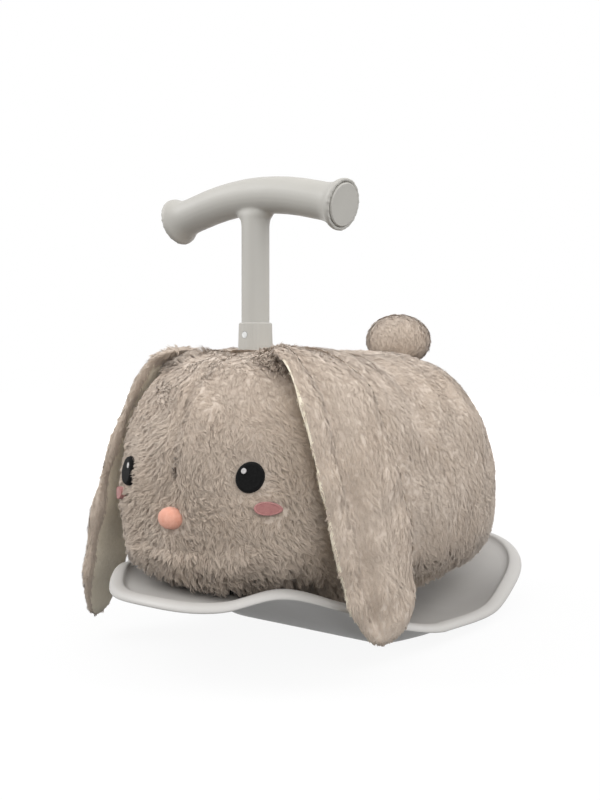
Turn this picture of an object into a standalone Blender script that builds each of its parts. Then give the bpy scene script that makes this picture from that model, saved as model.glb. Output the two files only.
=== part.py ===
"""A plush bunny ride on rocker: a lop eared plush body over a boarded frame, on a moulded rocker tray.

Metres, +Z up, +Y to the tail, the face to -Y. The origin is on the floor, under the middle of the object.
"""

import math

import bmesh
import bpy
import numpy as np
from mathutils import Matrix, Vector
from mathutils.bvhtree import BVHTree

CLEARANCE = 0.0003

# Rocker tray: half sizes of its rim, wall, and the heights of the rim round it
TRAY_Y = 0.0
TRAY_HALF_WIDTH = 0.146
TRAY_HALF_LENGTH = 0.285
TRAY_ROUNDNESS_FRONT = 2.3
TRAY_ROUNDNESS_REAR = 3.2
TRAY_WALL = 0.004
TRAY_LIP_WIDTH = 0.012
TRAY_LIP_DROP = 0.0078
TRAY_BEAD = 0.003
TRAY_BEAD_FALL = 0.0012
TRAY_EDGE_FALL = 0.0048
RIM_HEIGHT_FRONT = 0.084
RIM_HEIGHT_FRONT_CORNER = 0.093
RIM_HEIGHT_FRONT_FLANK = 0.072
RIM_HEIGHT_WAIST = 0.039
RIM_HEIGHT_SIDE = 0.0205
RIM_HEIGHT_REAR_FLANK = 0.037
RIM_HEIGHT_REAR_CORNER = 0.055
RIM_HEIGHT_REAR = 0.075
# Bearings from the tray's middle with the rim's height there, 90 at the tail and -90 at the face
RIM_PROFILE = (
    (-90.0, RIM_HEIGHT_FRONT),
    (-64.0, RIM_HEIGHT_FRONT),
    (-47.0, RIM_HEIGHT_FRONT_CORNER),
    (-30.0, RIM_HEIGHT_FRONT_FLANK),
    (-12.0, RIM_HEIGHT_WAIST),
    (4.0, RIM_HEIGHT_SIDE),
    (12.0, RIM_HEIGHT_SIDE),
    (25.0, RIM_HEIGHT_REAR_FLANK),
    (47.0, RIM_HEIGHT_REAR_CORNER),
    (90.0, RIM_HEIGHT_REAR),
)
SOLE_FRONT_Y = -0.030
SOLE_REAR_Y = 0.126
SOLE_RISE_FRONT = 0.072
SOLE_RISE_REAR = 0.048
# Share of the run to each end over which the sole has risen to its full height
SOLE_RUN_FRONT_SHARE = 0.60
SOLE_RUN_REAR_SHARE = 1.3
TRAY_SEGMENTS = 72

# Plush body: stations from the face to the tail, in shares of the body's sizes
BODY_FRONT_Y = -0.266
BODY_REAR_Y = 0.237
BODY_HALF_WIDTH = 0.139
BODY_TOP = 0.326
BODY_BOTTOM = 0.034
BODY_ROUNDNESS = 2.7
BODY_SAG_SHARE = 0.05
BODY_POINTS = 32
# Shares: along the length, of the half width, the top's drop and the bottom's rise in the height
BODY_STATION_SHARES = (
    (0.008, 0.30, 0.345, 0.33),
    (0.026, 0.52, 0.235, 0.27),
    (0.060, 0.72, 0.140, 0.225),
    (0.110, 0.86, 0.070, 0.19),
    (0.18, 0.95, 0.022, 0.165),
    (0.27, 0.995, 0.004, 0.125),
    (0.38, 0.985, 0.010, 0.065),
    (0.50, 0.975, 0.026, 0.02),
    (0.62, 0.985, 0.024, 0.0),
    (0.74, 1.0, 0.030, 0.0),
    (0.84, 0.985, 0.070, 0.0),
    (0.905, 0.91, 0.145, 0.02),
    (0.955, 0.76, 0.255, 0.06),
    (0.985, 0.54, 0.38, 0.14),
)
CAVITY_MARGIN = 0.0005

# Frame of boards inside the plush
BOARD = 0.009
FRAME_FRONT_Y = -0.172
FRAME_REAR_Y = 0.160
FRAME_HALF_WIDTH = 0.075
FRAME_BOTTOM = 0.094
FRAME_TOP = 0.232
FOAM_HEIGHT = 0.040
SCREW_HEAD_RADIUS = 0.004
SCREW_HEAD_HEIGHT = 0.002

# Handle: stem, arched bar with flared ends, collar
STEM_Y = -0.134
STEM_RADIUS = 0.0150
STEM_LOWER_END = 0.2326
BAR_HEIGHT = 0.482
BAR_RADIUS = 0.0196
BAR_HALF_LENGTH = 0.116
BAR_STRAIGHT_FROM = 0.071
BAR_END_SLOPE = math.radians(13.5)
FLARE_RADIUS = 0.0268
FLARE_LENGTH = 0.020
FLARE_LIP = 0.004
CAP_RADIUS = 0.0222
CAP_DEPTH = 0.0040
CAP_PROUD = 0.0010
FILLET_RADIUS = 0.012
# The stem's widening under the bar: height below or above the bar's underside, extra half width, depth share
FILLET_STEPS = (
    (-1.0, 0.0, 1.0),
    (-0.5, 0.13, 1.0),
    (-0.13, 0.5, 1.0),
    (0.41, 1.1, 0.92),
)
STEM_DEPTH_SHARE_IN_BAR = 0.9
COLLAR_RADIUS_TOP = 0.0178
COLLAR_RADIUS_FOOT = 0.0192
COLLAR_HEIGHT = 0.052
COLLAR_TOP = 0.347
COLLAR_FLANGE_RADIUS = 0.030
COLLAR_FLANGE = 0.004
COLLAR_SCREW_HEIGHT = 0.334
COLLAR_SCREW_RADIUS = 0.0036
TUBE_RADIUS = 0.0095
TUBE_WALL = 0.0015
TUBE_TOP = 0.458
FLANGE_RADIUS = 0.028
FLANGE_HEIGHT = 0.004
FLANGE_SLEEVE_HEIGHT = 0.022
FLANGE_SLEEVE_WALL = 0.003

# Bolts that hold the frame on the tray
BOLT_FROM_SIDES = 0.023
BOLT_X = FRAME_HALF_WIDTH - BOLT_FROM_SIDES
BOLT_Y_FROM_ENDS = 0.040
BOLT_RADIUS = 0.003
BOLT_HEAD_RADIUS = 0.0065
BOLT_HEAD_HEIGHT = 0.003
WASHER_RADIUS = 0.0085
WASHER_HEIGHT = 0.0012
NUT_RADIUS = 0.0058
NUT_HEIGHT = 0.005

# Ears: each swings about a seam on the crown of the head
EAR_HINGE_X = 0.064
EAR_HINGE_Y = -0.170
EAR_HINGE_DROP = 0.007
EAR_HALF_WIDTH = 0.050
EAR_HALF_THICKNESS = 0.0135
EAR_POINTS = 20

# Face and tail
EYE_HALF_WIDTH = 0.0124
EYE_HALF_HEIGHT = 0.0146
EYE_THICKNESS = 0.0018
EYE_X = 0.078
EYE_HEIGHT = 0.196
EYE_TILT = 0.0022
# The face is sewn a little to the left of the middle
FACE_SHIFT = 0.0052
NOSE_HALF_WIDTH = 0.0136
NOSE_HALF_HEIGHT = 0.0110
NOSE_THICKNESS = 0.007
NOSE_X = 0.002
NOSE_HEIGHT = 0.155
CHEEK_HALF_WIDTH = 0.0090
CHEEK_HALF_HEIGHT = 0.0064
CHEEK_THICKNESS = 0.0016
CHEEK_X = 0.093
CHEEK_HEIGHT = 0.170
TAIL_RADIUS = 0.044
TAIL_Y = 0.148
TAIL_HEIGHT = 0.331

# Shapes: shares and counts that set how round each form is drawn
SHARP_ANGLE = math.radians(40)
OVERRUN = 0.020
SOLE_SHARE = 0.60
HULL_CURVE = 2.2
# Rows of the tray's surface, in shares of its plan: the inside out to the lip, then the outside back in
TRAY_INSIDE_SHARES = (0.12, 0.3, 0.45, 0.6, 0.72, 0.82, 0.90, 0.96)
TRAY_OUTSIDE_SHARES = (0.995, 0.96, 0.90, 0.82, 0.72, 0.6, 0.45, 0.3, 0.12)
TRAY_LIP_MIDDLE_SHARE = 0.55
PILLAR_RADIUS = 0.016
PILLAR_WALL = 0.004
PILLAR_TOP = 0.006
BOLT_END = 0.003
SCREW_INSET = 0.020
FOAM_TOP = FRAME_TOP + FOAM_HEIGHT
FLARE_CURVE = 2.2
BAR_STEP_SHARES = (0.1, 0.25, 0.4, 0.55, 0.68, 0.79, 0.84, 0.88, 0.92, 0.96, 1.0)
HANDLE_SEGMENTS = 28
PILLAR_SEGMENTS = 28
WIDE_SEGMENTS = 32
TUBE_SEGMENTS = 24
SMALL_SEGMENTS = 16
TINY_SEGMENTS = 12
NUT_SIDES = 6
COLLAR_EDGE = 0.0012
COLLAR_SCREW_SEAT = 0.0016
COLLAR_SCREW_HEAD = 0.0014
COLLAR_SCREW_SHANK = 0.0018
# Middle line of each ear, in steps out from its seam, back and up
LEFT_EAR_ROUTE = (
    (0.006, 0.000, 0.000),
    (0.039, -0.002, -0.012),
    (0.070, -0.003, -0.046),
    (0.088, 0.001, -0.099),
    (0.099, 0.012, -0.163),
    (0.106, 0.020, -0.229),
    (0.110, 0.028, -0.281),
)
RIGHT_EAR_ROUTE = (
    (0.006, 0.003, 0.000),
    (0.034, 0.004, -0.016),
    (0.062, 0.001, -0.054),
    (0.080, -0.008, -0.104),
    (0.092, -0.018, -0.168),
    (0.105, -0.025, -0.236),
    (0.113, -0.029, -0.296),
)
EAR_STEPS = 22
EAR_TURN = math.radians(18)
EAR_TURN_SHARE = 0.4
EAR_ROUNDNESS = 2.2
EAR_ALONG_SHARES = (0.0, 0.08, 0.25, 0.5, 0.7, 0.85, 0.94, 0.98, 1.0)
EAR_WIDTH_SHARES = (0.62, 0.72, 0.90, 1.0, 0.96, 0.78, 0.52, 0.32, 0.12)
EAR_THICKNESS_SHARES = (0.5, 0.62, 0.72, 0.9, 1.0, 0.9, 0.75, 0.5, 0.2)
PLUSH_CLEARANCE = 0.0007
PATCH_SEGMENTS = 24
PATCH_UNDER_SHARES = (0.5, 1.0)
PATCH_FLAT_SHARES = (1.0, 0.5)
PATCH_DOME_SHARES = (1.0, 0.8, 0.5, 0.2)
NOSE_EDGE = 0.0015
# Soft lumps of the stuffing: how high they stand, how far apart they lie, and how many waves mix in them
LUMP_HEIGHT = 0.0015
LUMP_SPACING = 0.110
LUMP_WAVES = 6
LUMP_EVENNESS = 2.6
LUMP_SPREAD = (0.7, 1.4)
LUMP_SEED = 3
TAIL_RINGS = 14
TAIL_SEGMENTS = 24
TAIL_HALF_HEIGHT = 0.036


def material(name, colour, roughness, metallic=0.0):
    made = bpy.data.materials.new(name)
    made.use_nodes = True
    shader = made.node_tree.nodes["Principled BSDF"]
    shader.inputs["Base Color"].default_value = (*colour, 1.0)
    shader.inputs["Roughness"].default_value = roughness
    shader.inputs["Metallic"].default_value = metallic
    return made


def face_out(bm):
    bmesh.ops.recalc_face_normals(bm, faces=bm.faces)
    if bm.calc_volume(signed=True) < 0:
        bmesh.ops.reverse_faces(bm, faces=bm.faces)


def placed(name, bm, mat, origin=(0.0, 0.0, 0.0)):
    """A new object from a bmesh whose points are in place, with its origin moved to the point given."""
    face_out(bm)
    bmesh.ops.translate(bm, vec=-Vector(origin), verts=bm.verts)
    mesh = bpy.data.meshes.new(name)
    bm.to_mesh(mesh)
    bm.free()
    mesh.shade_smooth()
    mesh.set_sharp_from_angle(angle=SHARP_ANGLE)
    mesh.materials.append(mat)
    made = bpy.data.objects.new(name, mesh)
    made.location = origin
    bpy.context.scene.collection.objects.link(made)
    return made


def skinned(rings, closed=False):
    """A bmesh over rings of equally many points, its ends closed with fans or joined to each other."""
    bm = bmesh.new()
    loops = [[bm.verts.new(point) for point in ring] for ring in rings]
    pairs = list(zip(loops, loops[1:]))
    if closed:
        pairs.append((loops[-1], loops[0]))
    for one, other in pairs:
        for i in range(len(one)):
            j = (i + 1) % len(one)
            bm.faces.new((one[i], one[j], other[j], other[i]))
    if not closed:
        for loop in (loops[0], loops[-1]):
            middle = bm.verts.new(sum((v.co for v in loop), Vector()) / len(loop))
            for i in range(len(loop)):
                bm.faces.new((loop[i], loop[(i + 1) % len(loop)], middle))
    return bm


def turned(profile, segments, closed=False):
    """A bmesh turned about Z from (radius, height) pairs. A closed profile makes a tube."""
    rings = []
    for radius, height in profile:
        angles = [2 * math.pi * i / segments for i in range(segments)]
        rings.append([(radius * math.cos(a), radius * math.sin(a), height) for a in angles])
    return skinned(rings, closed)


def moved(bm, place, axis=(0.0, 0.0, 1.0)):
    """Turns a bmesh from +Z to an axis and moves it to a place."""
    turn = Vector((0, 0, 1)).rotation_difference(Vector(axis)).to_matrix().to_4x4()
    bmesh.ops.transform(bm, matrix=Matrix.Translation(place) @ turn, verts=bm.verts)
    return bm


def disc(radius, height, place, axis=(0.0, 0.0, 1.0), segments=20, bevel=0.0):
    """A cylinder from a place along an axis, its far edge bevelled."""
    profile = [(radius, 0.0), (radius, height - bevel), (radius - bevel, height)]
    return moved(turned(profile if bevel else profile[:1] + [(radius, height)], segments), place, axis)


def block(low, high):
    bm = bmesh.new()
    bmesh.ops.create_cube(bm, size=1.0)
    size = Vector(high) - Vector(low)
    middle = (Vector(high) + Vector(low)) / 2
    bmesh.ops.transform(bm, matrix=Matrix.Translation(middle) @ Matrix.Diagonal((*size, 1.0)), verts=bm.verts)
    return bm


def joined(*parts):
    """One bmesh of several that stay separate bodies, for a cutter or a group of fasteners."""
    whole = bmesh.new()
    for bm in parts:
        mesh = bpy.data.meshes.new("loose")
        face_out(bm)
        bm.to_mesh(mesh)
        bm.free()
        whole.from_mesh(mesh)
        bpy.data.meshes.remove(mesh)
    return whole


def helper(name, bm):
    """An object that only cuts or joins."""
    made = placed(name, bm, PLASTIC)
    made.hide_render = True
    made.display_type = "WIRE"
    return made


def combine(target, bm, operation, name):
    other = helper(name, bm)
    modifier = target.modifiers.new(name, "BOOLEAN")
    modifier.operation = operation
    modifier.object = other
    return modifier


def smooth_step(t):
    t = min(max(t, 0.0), 1.0)
    return t * t * (3 - 2 * t)


def superellipse(half_x, half_y, power, angle):
    c, s = math.cos(angle), math.sin(angle)
    return (
        half_x * math.copysign(abs(c) ** (2 / power), c),
        half_y * math.copysign(abs(s) ** (2 / power), s),
    )


# The tray


def sole_height(y):
    """The underside of the tray along its length: flat where it stands, sweeping up to both ends."""
    if y < SOLE_FRONT_Y:
        run = (SOLE_FRONT_Y - y) / (SOLE_FRONT_Y + TRAY_HALF_LENGTH)
        return SOLE_RISE_FRONT * smooth_step(run / SOLE_RUN_FRONT_SHARE)
    if y > SOLE_REAR_Y:
        run = (y - SOLE_REAR_Y) / (TRAY_HALF_LENGTH - SOLE_REAR_Y)
        return SOLE_RISE_REAR * smooth_step(run / SOLE_RUN_REAR_SHARE)
    return 0.0


def rim_height(angle):
    """The top of the rim at a bearing round the tray, on a smooth curve through its named heights."""
    bearing = math.degrees(math.asin(math.sin(angle)))
    places, heights = zip(*RIM_PROFILE)
    slopes = np.gradient(heights, places)
    slopes[0] = slopes[-1] = 0.0
    i = min(int(np.searchsorted(places, bearing, side="right")) - 1, len(places) - 2)
    gap = places[i + 1] - places[i]
    t = (bearing - places[i]) / gap
    ease = smooth_step(t)
    bend = gap * (slopes[i] * t * (1 - t) ** 2 - slopes[i + 1] * t**2 * (1 - t))
    return heights[i] * (1 - ease) + heights[i + 1] * ease + bend


def tray_point(share, out, angle, height):
    """A point of the tray: on its plan at a share of its size, plus a width outside, at a height rule."""
    power = TRAY_ROUNDNESS_FRONT if math.sin(angle) < 0 else TRAY_ROUNDNESS_REAR
    x, y = superellipse(TRAY_HALF_WIDTH * share + out, TRAY_HALF_LENGTH * share + out, power, angle)
    y += (SOLE_FRONT_Y + SOLE_REAR_Y) / 2 * max(1 - share / SOLE_SHARE, 0.0)
    return (x, y + TRAY_Y, height(share, y, angle))


def hull_under(share, y, angle):
    """The outside of the hull: the sole in the middle, rising to the underside of the lip."""
    rise = max(share - SOLE_SHARE, 0.0) / (1 - SOLE_SHARE)
    edge = rim_height(angle) - TRAY_LIP_DROP - sole_height(y)
    return sole_height(y) + edge * rise**HULL_CURVE


def hull_over(share, y, angle):
    return hull_under(share, y, angle) + TRAY_WALL


def make_tray():
    def rim(drop):
        return lambda share, y, angle: rim_height(angle) - drop

    rows = [(share, 0.0, hull_over) for share in TRAY_INSIDE_SHARES]
    rows += [
        (1.0, -TRAY_BEAD, rim(TRAY_BEAD)),
        (1.0, 0.0, rim(0.0)),
        (1.0, TRAY_LIP_WIDTH * TRAY_LIP_MIDDLE_SHARE, rim(TRAY_BEAD_FALL)),
        (1.0, TRAY_LIP_WIDTH, rim(TRAY_EDGE_FALL)),
        (1.0, TRAY_LIP_WIDTH, rim(TRAY_LIP_DROP)),
        (1.0, TRAY_WALL, rim(TRAY_LIP_DROP)),
    ]
    rows += [(share, 0.0, hull_under) for share in TRAY_OUTSIDE_SHARES]
    angles = [2 * math.pi * i / TRAY_SEGMENTS for i in range(TRAY_SEGMENTS)]
    rings = [[tray_point(share, out, a, height) for a in angles] for share, out, height in rows]
    tray = placed("rocker_tray", skinned(rings), PLASTIC)
    top = FRAME_BOTTOM - CLEARANCE
    pillars, pockets = [], []
    for x, y in bolt_places():
        foot = sole_height(y - TRAY_Y) + TRAY_WALL / 2
        pillars.append(disc(PILLAR_RADIUS, top - foot, (x, y, foot), segments=PILLAR_SEGMENTS))
        depth = top - PILLAR_TOP + OVERRUN
        pockets.append(disc(PILLAR_RADIUS - PILLAR_WALL, depth, (x, y, -OVERRUN), segments=PILLAR_SEGMENTS))
    combine(tray, joined(*pillars), "UNION", "tray_pillars")
    combine(tray, joined(*pockets), "DIFFERENCE", "tray_pillar_pockets")
    holes = [disc(BOLT_RADIUS + CLEARANCE, top + 2 * OVERRUN, (x, y, -OVERRUN)) for x, y in bolt_places()]
    combine(tray, joined(*holes), "DIFFERENCE", "tray_bolt_holes")
    return tray


# The plush body


def lump_waves():
    """Directions, in turns per metre, and starts of the sine waves that mix into the stuffing's lumps."""
    rng = np.random.default_rng(LUMP_SEED)
    waves = []
    for _ in range(LUMP_WAVES):
        way = rng.normal(size=3)
        turns = way / np.linalg.norm(way) * (2 * math.pi / LUMP_SPACING) * rng.uniform(*LUMP_SPREAD)
        waves.append((turns, rng.uniform(0, 2 * math.pi)))
    return waves


def lump(place, waves):
    """How far the stuffing stands out at a place."""
    mixed = sum(math.sin(float(np.dot(place, turns)) + start) for turns, start in waves)
    return LUMP_HEIGHT / LUMP_EVENNESS * mixed


def body_place(station, angle, grow):
    """A point of a section across the body, a superellipse that sags, grown outward by a distance."""
    along, width, drop, rise = station
    length = BODY_REAR_Y - BODY_FRONT_Y
    height = BODY_TOP - BODY_BOTTOM
    top = BODY_TOP - drop * height + grow
    bottom = BODY_BOTTOM + rise * height - grow
    x, z = superellipse(BODY_HALF_WIDTH * width + grow, (top - bottom) / 2, BODY_ROUNDNESS, angle)
    sag = -BODY_SAG_SHARE * z / (height / 2)
    y = BODY_FRONT_Y + along * length + grow * (2 * along - 1)
    return Vector((x * (1 + sag), y + sag * (along - 0.5) * length, (top + bottom) / 2 + z))


def body_rings(grow=0.0):
    """Sections of the body along its length, with the stuffing's lumps."""
    waves = lump_waves()
    middle = Vector((0, (BODY_FRONT_Y + BODY_REAR_Y) / 2, (BODY_TOP + BODY_BOTTOM) / 2))
    half = (BODY_HALF_WIDTH, (BODY_REAR_Y - BODY_FRONT_Y) / 2, (BODY_TOP - BODY_BOTTOM) / 2)
    rings = []
    for station in BODY_STATION_SHARES:
        ring = []
        for i in range(BODY_POINTS):
            angle = 2 * math.pi * (i + 0.5) / BODY_POINTS
            base = body_place(station, angle, 0.0)
            out = Vector([d / size**2 for d, size in zip(base - middle, half)]).normalized()
            ring.append(body_place(station, angle, grow) + out * lump(base, waves))
        rings.append(ring)
    front = Vector((0, BODY_FRONT_Y - grow, np.mean([p[2] for p in rings[0]])))
    rear = Vector((0, BODY_REAR_Y + grow, np.mean([p[2] for p in rings[-1]])))
    return rings, front, rear


def body_mesh(grow=0.0):
    rings, front, rear = body_rings(grow)
    bm = skinned(rings)
    bm.verts.ensure_lookup_table()
    bm.verts[-2].co = front
    bm.verts[-1].co = rear
    return bm


def make_body():
    body = placed("plush_body", body_mesh(), FUR)
    side = FRAME_HALF_WIDTH + SCREW_HEAD_HEIGHT + CAVITY_MARGIN
    low = (-side, FRAME_FRONT_Y - CAVITY_MARGIN, -OVERRUN)
    high = (side, FRAME_REAR_Y + CAVITY_MARGIN, FOAM_TOP + CAVITY_MARGIN)
    cavity = block(low, high)
    combine(body, cavity, "DIFFERENCE", "body_cavity")
    place = (0, STEM_Y, FOAM_TOP - OVERRUN)
    hole = disc(COLLAR_RADIUS_FOOT + CAVITY_MARGIN, BODY_TOP, place, segments=WIDE_SEGMENTS)
    combine(body, hole, "DIFFERENCE", "body_stem_hole")
    return body


# The frame of boards


def bolt_places():
    return [
        (x, y)
        for x in (-BOLT_X, BOLT_X)
        for y in (FRAME_FRONT_Y + BOLT_Y_FROM_ENDS, FRAME_REAR_Y - BOLT_Y_FROM_ENDS)
    ]


def board(name, low, high, holes=()):
    made = placed(name, block(low, high), WOOD)
    if holes:
        combine(made, joined(*holes), "DIFFERENCE", name + "_holes")
    return made


def make_frame():
    side, front, rear = FRAME_HALF_WIDTH, FRAME_FRONT_Y, FRAME_REAR_Y
    floor_top = FRAME_BOTTOM + BOARD
    seat_under = FRAME_TOP - BOARD
    drill = [
        disc(BOLT_RADIUS + CLEARANCE, BOARD + 2 * OVERRUN, (x, y, FRAME_BOTTOM - OVERRUN))
        for x, y in bolt_places()
    ]
    board("floor_board", (-side, front, FRAME_BOTTOM), (side, rear, floor_top), drill)
    stem_hole = disc(TUBE_RADIUS + CLEARANCE, BOARD + 2 * OVERRUN, (0, STEM_Y, seat_under - OVERRUN))
    board("seat_board", (-side, front, seat_under), (side, rear, FRAME_TOP), [stem_hole])
    low, high = floor_top + CLEARANCE, seat_under - CLEARANCE
    for name, x in (("right_side_board", -side), ("left_side_board", side - BOARD)):
        board(name, (x, front, low), (x + BOARD, rear, high))
    inner = side - BOARD - CLEARANCE
    for name, y in (("front_cross_board", front), ("rear_cross_board", rear - BOARD)):
        board(name, (-inner, y, low), (inner, y + BOARD, high))
    screws = []
    for x in (-side, side):
        out = math.copysign(1.0, x)
        for y in (front + BOARD / 2, rear - BOARD / 2):
            for z in (low + SCREW_INSET, high - SCREW_INSET):
                place = (x + out * CLEARANCE, y, z)
                screws.append(disc(SCREW_HEAD_RADIUS, SCREW_HEAD_HEIGHT, place, (out, 0, 0), TINY_SEGMENTS))
    return screws


def make_foam():
    side = FRAME_HALF_WIDTH
    low, high = (-side, FRAME_FRONT_Y, FRAME_TOP + CLEARANCE), (side, FRAME_REAR_Y, FOAM_TOP)
    foam = placed("seat_foam", block(low, high), FOAM)
    depth = FOAM_HEIGHT + 2 * OVERRUN
    collar = disc(COLLAR_FLANGE_RADIUS + CAVITY_MARGIN, depth, (0, STEM_Y, FRAME_TOP - OVERRUN))
    combine(foam, collar, "DIFFERENCE", "foam_hole")
    return foam


def make_fixings():
    bolts, washers, nuts = [], [], []
    land = FRAME_BOTTOM - CLEARANCE - PILLAR_TOP
    top = FRAME_BOTTOM + BOARD
    for x, y in bolt_places():
        seat = (x, y, land - CLEARANCE - BOLT_HEAD_HEIGHT)
        head = disc(BOLT_HEAD_RADIUS, BOLT_HEAD_HEIGHT, seat, segments=TINY_SEGMENTS)
        length = top - land + WASHER_HEIGHT + NUT_HEIGHT + BOLT_END
        shank = disc(BOLT_RADIUS, length, (x, y, land - 2 * CLEARANCE), segments=TINY_SEGMENTS)
        bolts.append((head, shank))
        ring = [
            (BOLT_RADIUS + CLEARANCE, 0.0),
            (WASHER_RADIUS, 0.0),
            (WASHER_RADIUS, WASHER_HEIGHT),
            (BOLT_RADIUS + CLEARANCE, WASHER_HEIGHT),
        ]
        washers.append(moved(turned(ring, SMALL_SEGMENTS, closed=True), (x, y, top + CLEARANCE)))
        bore = (BOLT_RADIUS + CLEARANCE) / math.cos(math.pi / NUT_SIDES)
        ring = [(bore, 0.0), (NUT_RADIUS, 0.0), (NUT_RADIUS, NUT_HEIGHT), (bore, NUT_HEIGHT)]
        nuts.append(moved(turned(ring, NUT_SIDES, closed=True), (x, y, top + WASHER_HEIGHT + 2 * CLEARANCE)))
    for number, (head, shank) in enumerate(bolts, 1):
        bolt = placed(f"base_bolt_{number}", head, STEEL)
        combine(bolt, shank, "UNION", f"bolt_shank_{number}")
    for number, bm in enumerate(washers, 1):
        placed(f"base_washer_{number}", bm, STEEL)
    for number, bm in enumerate(nuts, 1):
        placed(f"base_nut_{number}", bm, STEEL)


# The handle


def bar_centre(along):
    """The middle line of the bar: an arc in the middle, straight and sloping to the ends."""
    radius = BAR_STRAIGHT_FROM / math.sin(BAR_END_SLOPE)
    side = math.copysign(1.0, along)
    run = min(abs(along), BAR_STRAIGHT_FROM)
    angle = math.asin(run / radius)
    drop = radius * (1 - math.cos(angle)) + max(abs(along) - run, 0.0) * math.tan(BAR_END_SLOPE)
    return Vector((along, STEM_Y, BAR_HEIGHT - drop)), Vector((math.cos(angle), 0, -side * math.sin(angle)))


def bar_radius(along):
    """The bar swells to a trumpet at each end, with a straight lip."""
    start = BAR_HALF_LENGTH - FLARE_LIP - FLARE_LENGTH
    run = min(max(abs(along) - start, 0.0) / FLARE_LENGTH, 1.0)
    return BAR_RADIUS + (FLARE_RADIUS - BAR_RADIUS) * run**FLARE_CURVE


def make_handle():
    steps = [share * BAR_HALF_LENGTH for share in BAR_STEP_SHARES]
    rings = []
    for along in [-s for s in reversed(steps)] + [0.0] + steps:
        centre, tangent = bar_centre(along)
        radius = bar_radius(along)
        up = Vector((-tangent.z, 0, tangent.x))
        ring = []
        for i in range(HANDLE_SEGMENTS):
            a = 2 * math.pi * i / HANDLE_SEGMENTS
            ring.append(centre + up * (radius * math.cos(a)) + Vector((0, radius * math.sin(a), 0)))
        rings.append(ring)
    handle = placed("handlebar", skinned(rings), PLASTIC_WARM)
    under = BAR_HEIGHT - BAR_RADIUS
    rings = []
    sections = [(STEM_LOWER_END, STEM_RADIUS, STEM_RADIUS)]
    sections += [
        (under + FILLET_RADIUS * up, STEM_RADIUS + FILLET_RADIUS * out, STEM_RADIUS * deep)
        for up, out, deep in FILLET_STEPS
    ]
    sections.append((BAR_HEIGHT, STEM_RADIUS, STEM_RADIUS * STEM_DEPTH_SHARE_IN_BAR))
    for height, half_x, half_y in sections:
        ring = []
        for i in range(HANDLE_SEGMENTS):
            a = 2 * math.pi * i / HANDLE_SEGMENTS
            ring.append((half_x * math.cos(a), STEM_Y + half_y * math.sin(a), height))
        rings.append(ring)
    combine(handle, skinned(rings), "UNION", "handle_stem")
    bore_depth = TUBE_TOP + CLEARANCE - STEM_LOWER_END + OVERRUN
    bore = disc(TUBE_RADIUS + CLEARANCE, bore_depth, (0, STEM_Y, STEM_LOWER_END - OVERRUN))
    pilot_depth = COLLAR_RADIUS_FOOT - TUBE_RADIUS + OVERRUN
    place = (0, STEM_Y - TUBE_RADIUS, COLLAR_SCREW_HEIGHT)
    pilot = disc(COLLAR_SCREW_SHANK + CLEARANCE, pilot_depth, place, (0, -1, 0), TINY_SEGMENTS)
    combine(handle, bore, "DIFFERENCE", "handle_bore")
    combine(handle, pilot, "DIFFERENCE", "handle_pilot_hole")
    seats = []
    for side in (-1, 1):
        end, tangent = bar_centre(side * BAR_HALF_LENGTH)
        outward = tangent * side
        seat = end - outward * CAP_DEPTH
        seats.append(disc(CAP_RADIUS + CLEARANCE, CAP_DEPTH + OVERRUN, seat, outward, WIDE_SEGMENTS))
    combine(handle, joined(*seats), "DIFFERENCE", "handle_cap_seats")
    for name, side in (("left_grip_cap", 1), ("right_grip_cap", -1)):
        end, tangent = bar_centre(side * BAR_HALF_LENGTH)
        outward = tangent * side
        seat = end - outward * (CAP_DEPTH - CLEARANCE)
        cap = disc(CAP_RADIUS, CAP_DEPTH + CAP_PROUD, seat, outward, WIDE_SEGMENTS, bevel=CAP_PROUD)
        placed(name, cap, PLASTIC_WARM, end)


def make_collar():
    foot = FRAME_TOP + CLEARANCE
    bore = STEM_RADIUS + CLEARANCE
    profile = [
        (bore, foot),
        (COLLAR_FLANGE_RADIUS, foot),
        (COLLAR_FLANGE_RADIUS, foot + COLLAR_FLANGE),
        (COLLAR_RADIUS_FOOT, foot + COLLAR_FLANGE),
        (COLLAR_RADIUS_FOOT, COLLAR_TOP - COLLAR_HEIGHT),
        (COLLAR_RADIUS_TOP, COLLAR_TOP - COLLAR_EDGE),
        (COLLAR_RADIUS_TOP - COLLAR_EDGE, COLLAR_TOP),
        (bore, COLLAR_TOP),
    ]
    ring = moved(turned(profile, WIDE_SEGMENTS, closed=True), (0, STEM_Y, 0))
    collar = placed("stem_collar", ring, PLASTIC_WARM)
    front = STEM_Y - COLLAR_RADIUS_TOP + COLLAR_SCREW_SEAT
    place = (0, front, COLLAR_SCREW_HEIGHT)
    face = disc(COLLAR_SCREW_RADIUS + CLEARANCE, OVERRUN, place, (0, -1, 0), SMALL_SEGMENTS)
    place = (0, front + OVERRUN / 2, COLLAR_SCREW_HEIGHT)
    hole = disc(COLLAR_SCREW_SHANK + CLEARANCE, OVERRUN, place, (0, -1, 0), TINY_SEGMENTS)
    combine(collar, face, "DIFFERENCE", "collar_screw_seat")
    combine(collar, hole, "DIFFERENCE", "collar_screw_hole")
    place = (0, front - CLEARANCE, COLLAR_SCREW_HEIGHT)
    head = disc(COLLAR_SCREW_RADIUS, COLLAR_SCREW_HEAD, place, (0, -1, 0), SMALL_SEGMENTS)
    shank_end = (0, STEM_Y - TUBE_RADIUS - 2 * CLEARANCE, COLLAR_SCREW_HEIGHT)
    shank = disc(COLLAR_SCREW_SHANK, shank_end[1] - front + 2 * CLEARANCE, shank_end, (0, -1, 0), TINY_SEGMENTS)
    screw = placed("collar_screw", head, STEEL)
    combine(screw, shank, "UNION", "collar_screw_shank")


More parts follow.
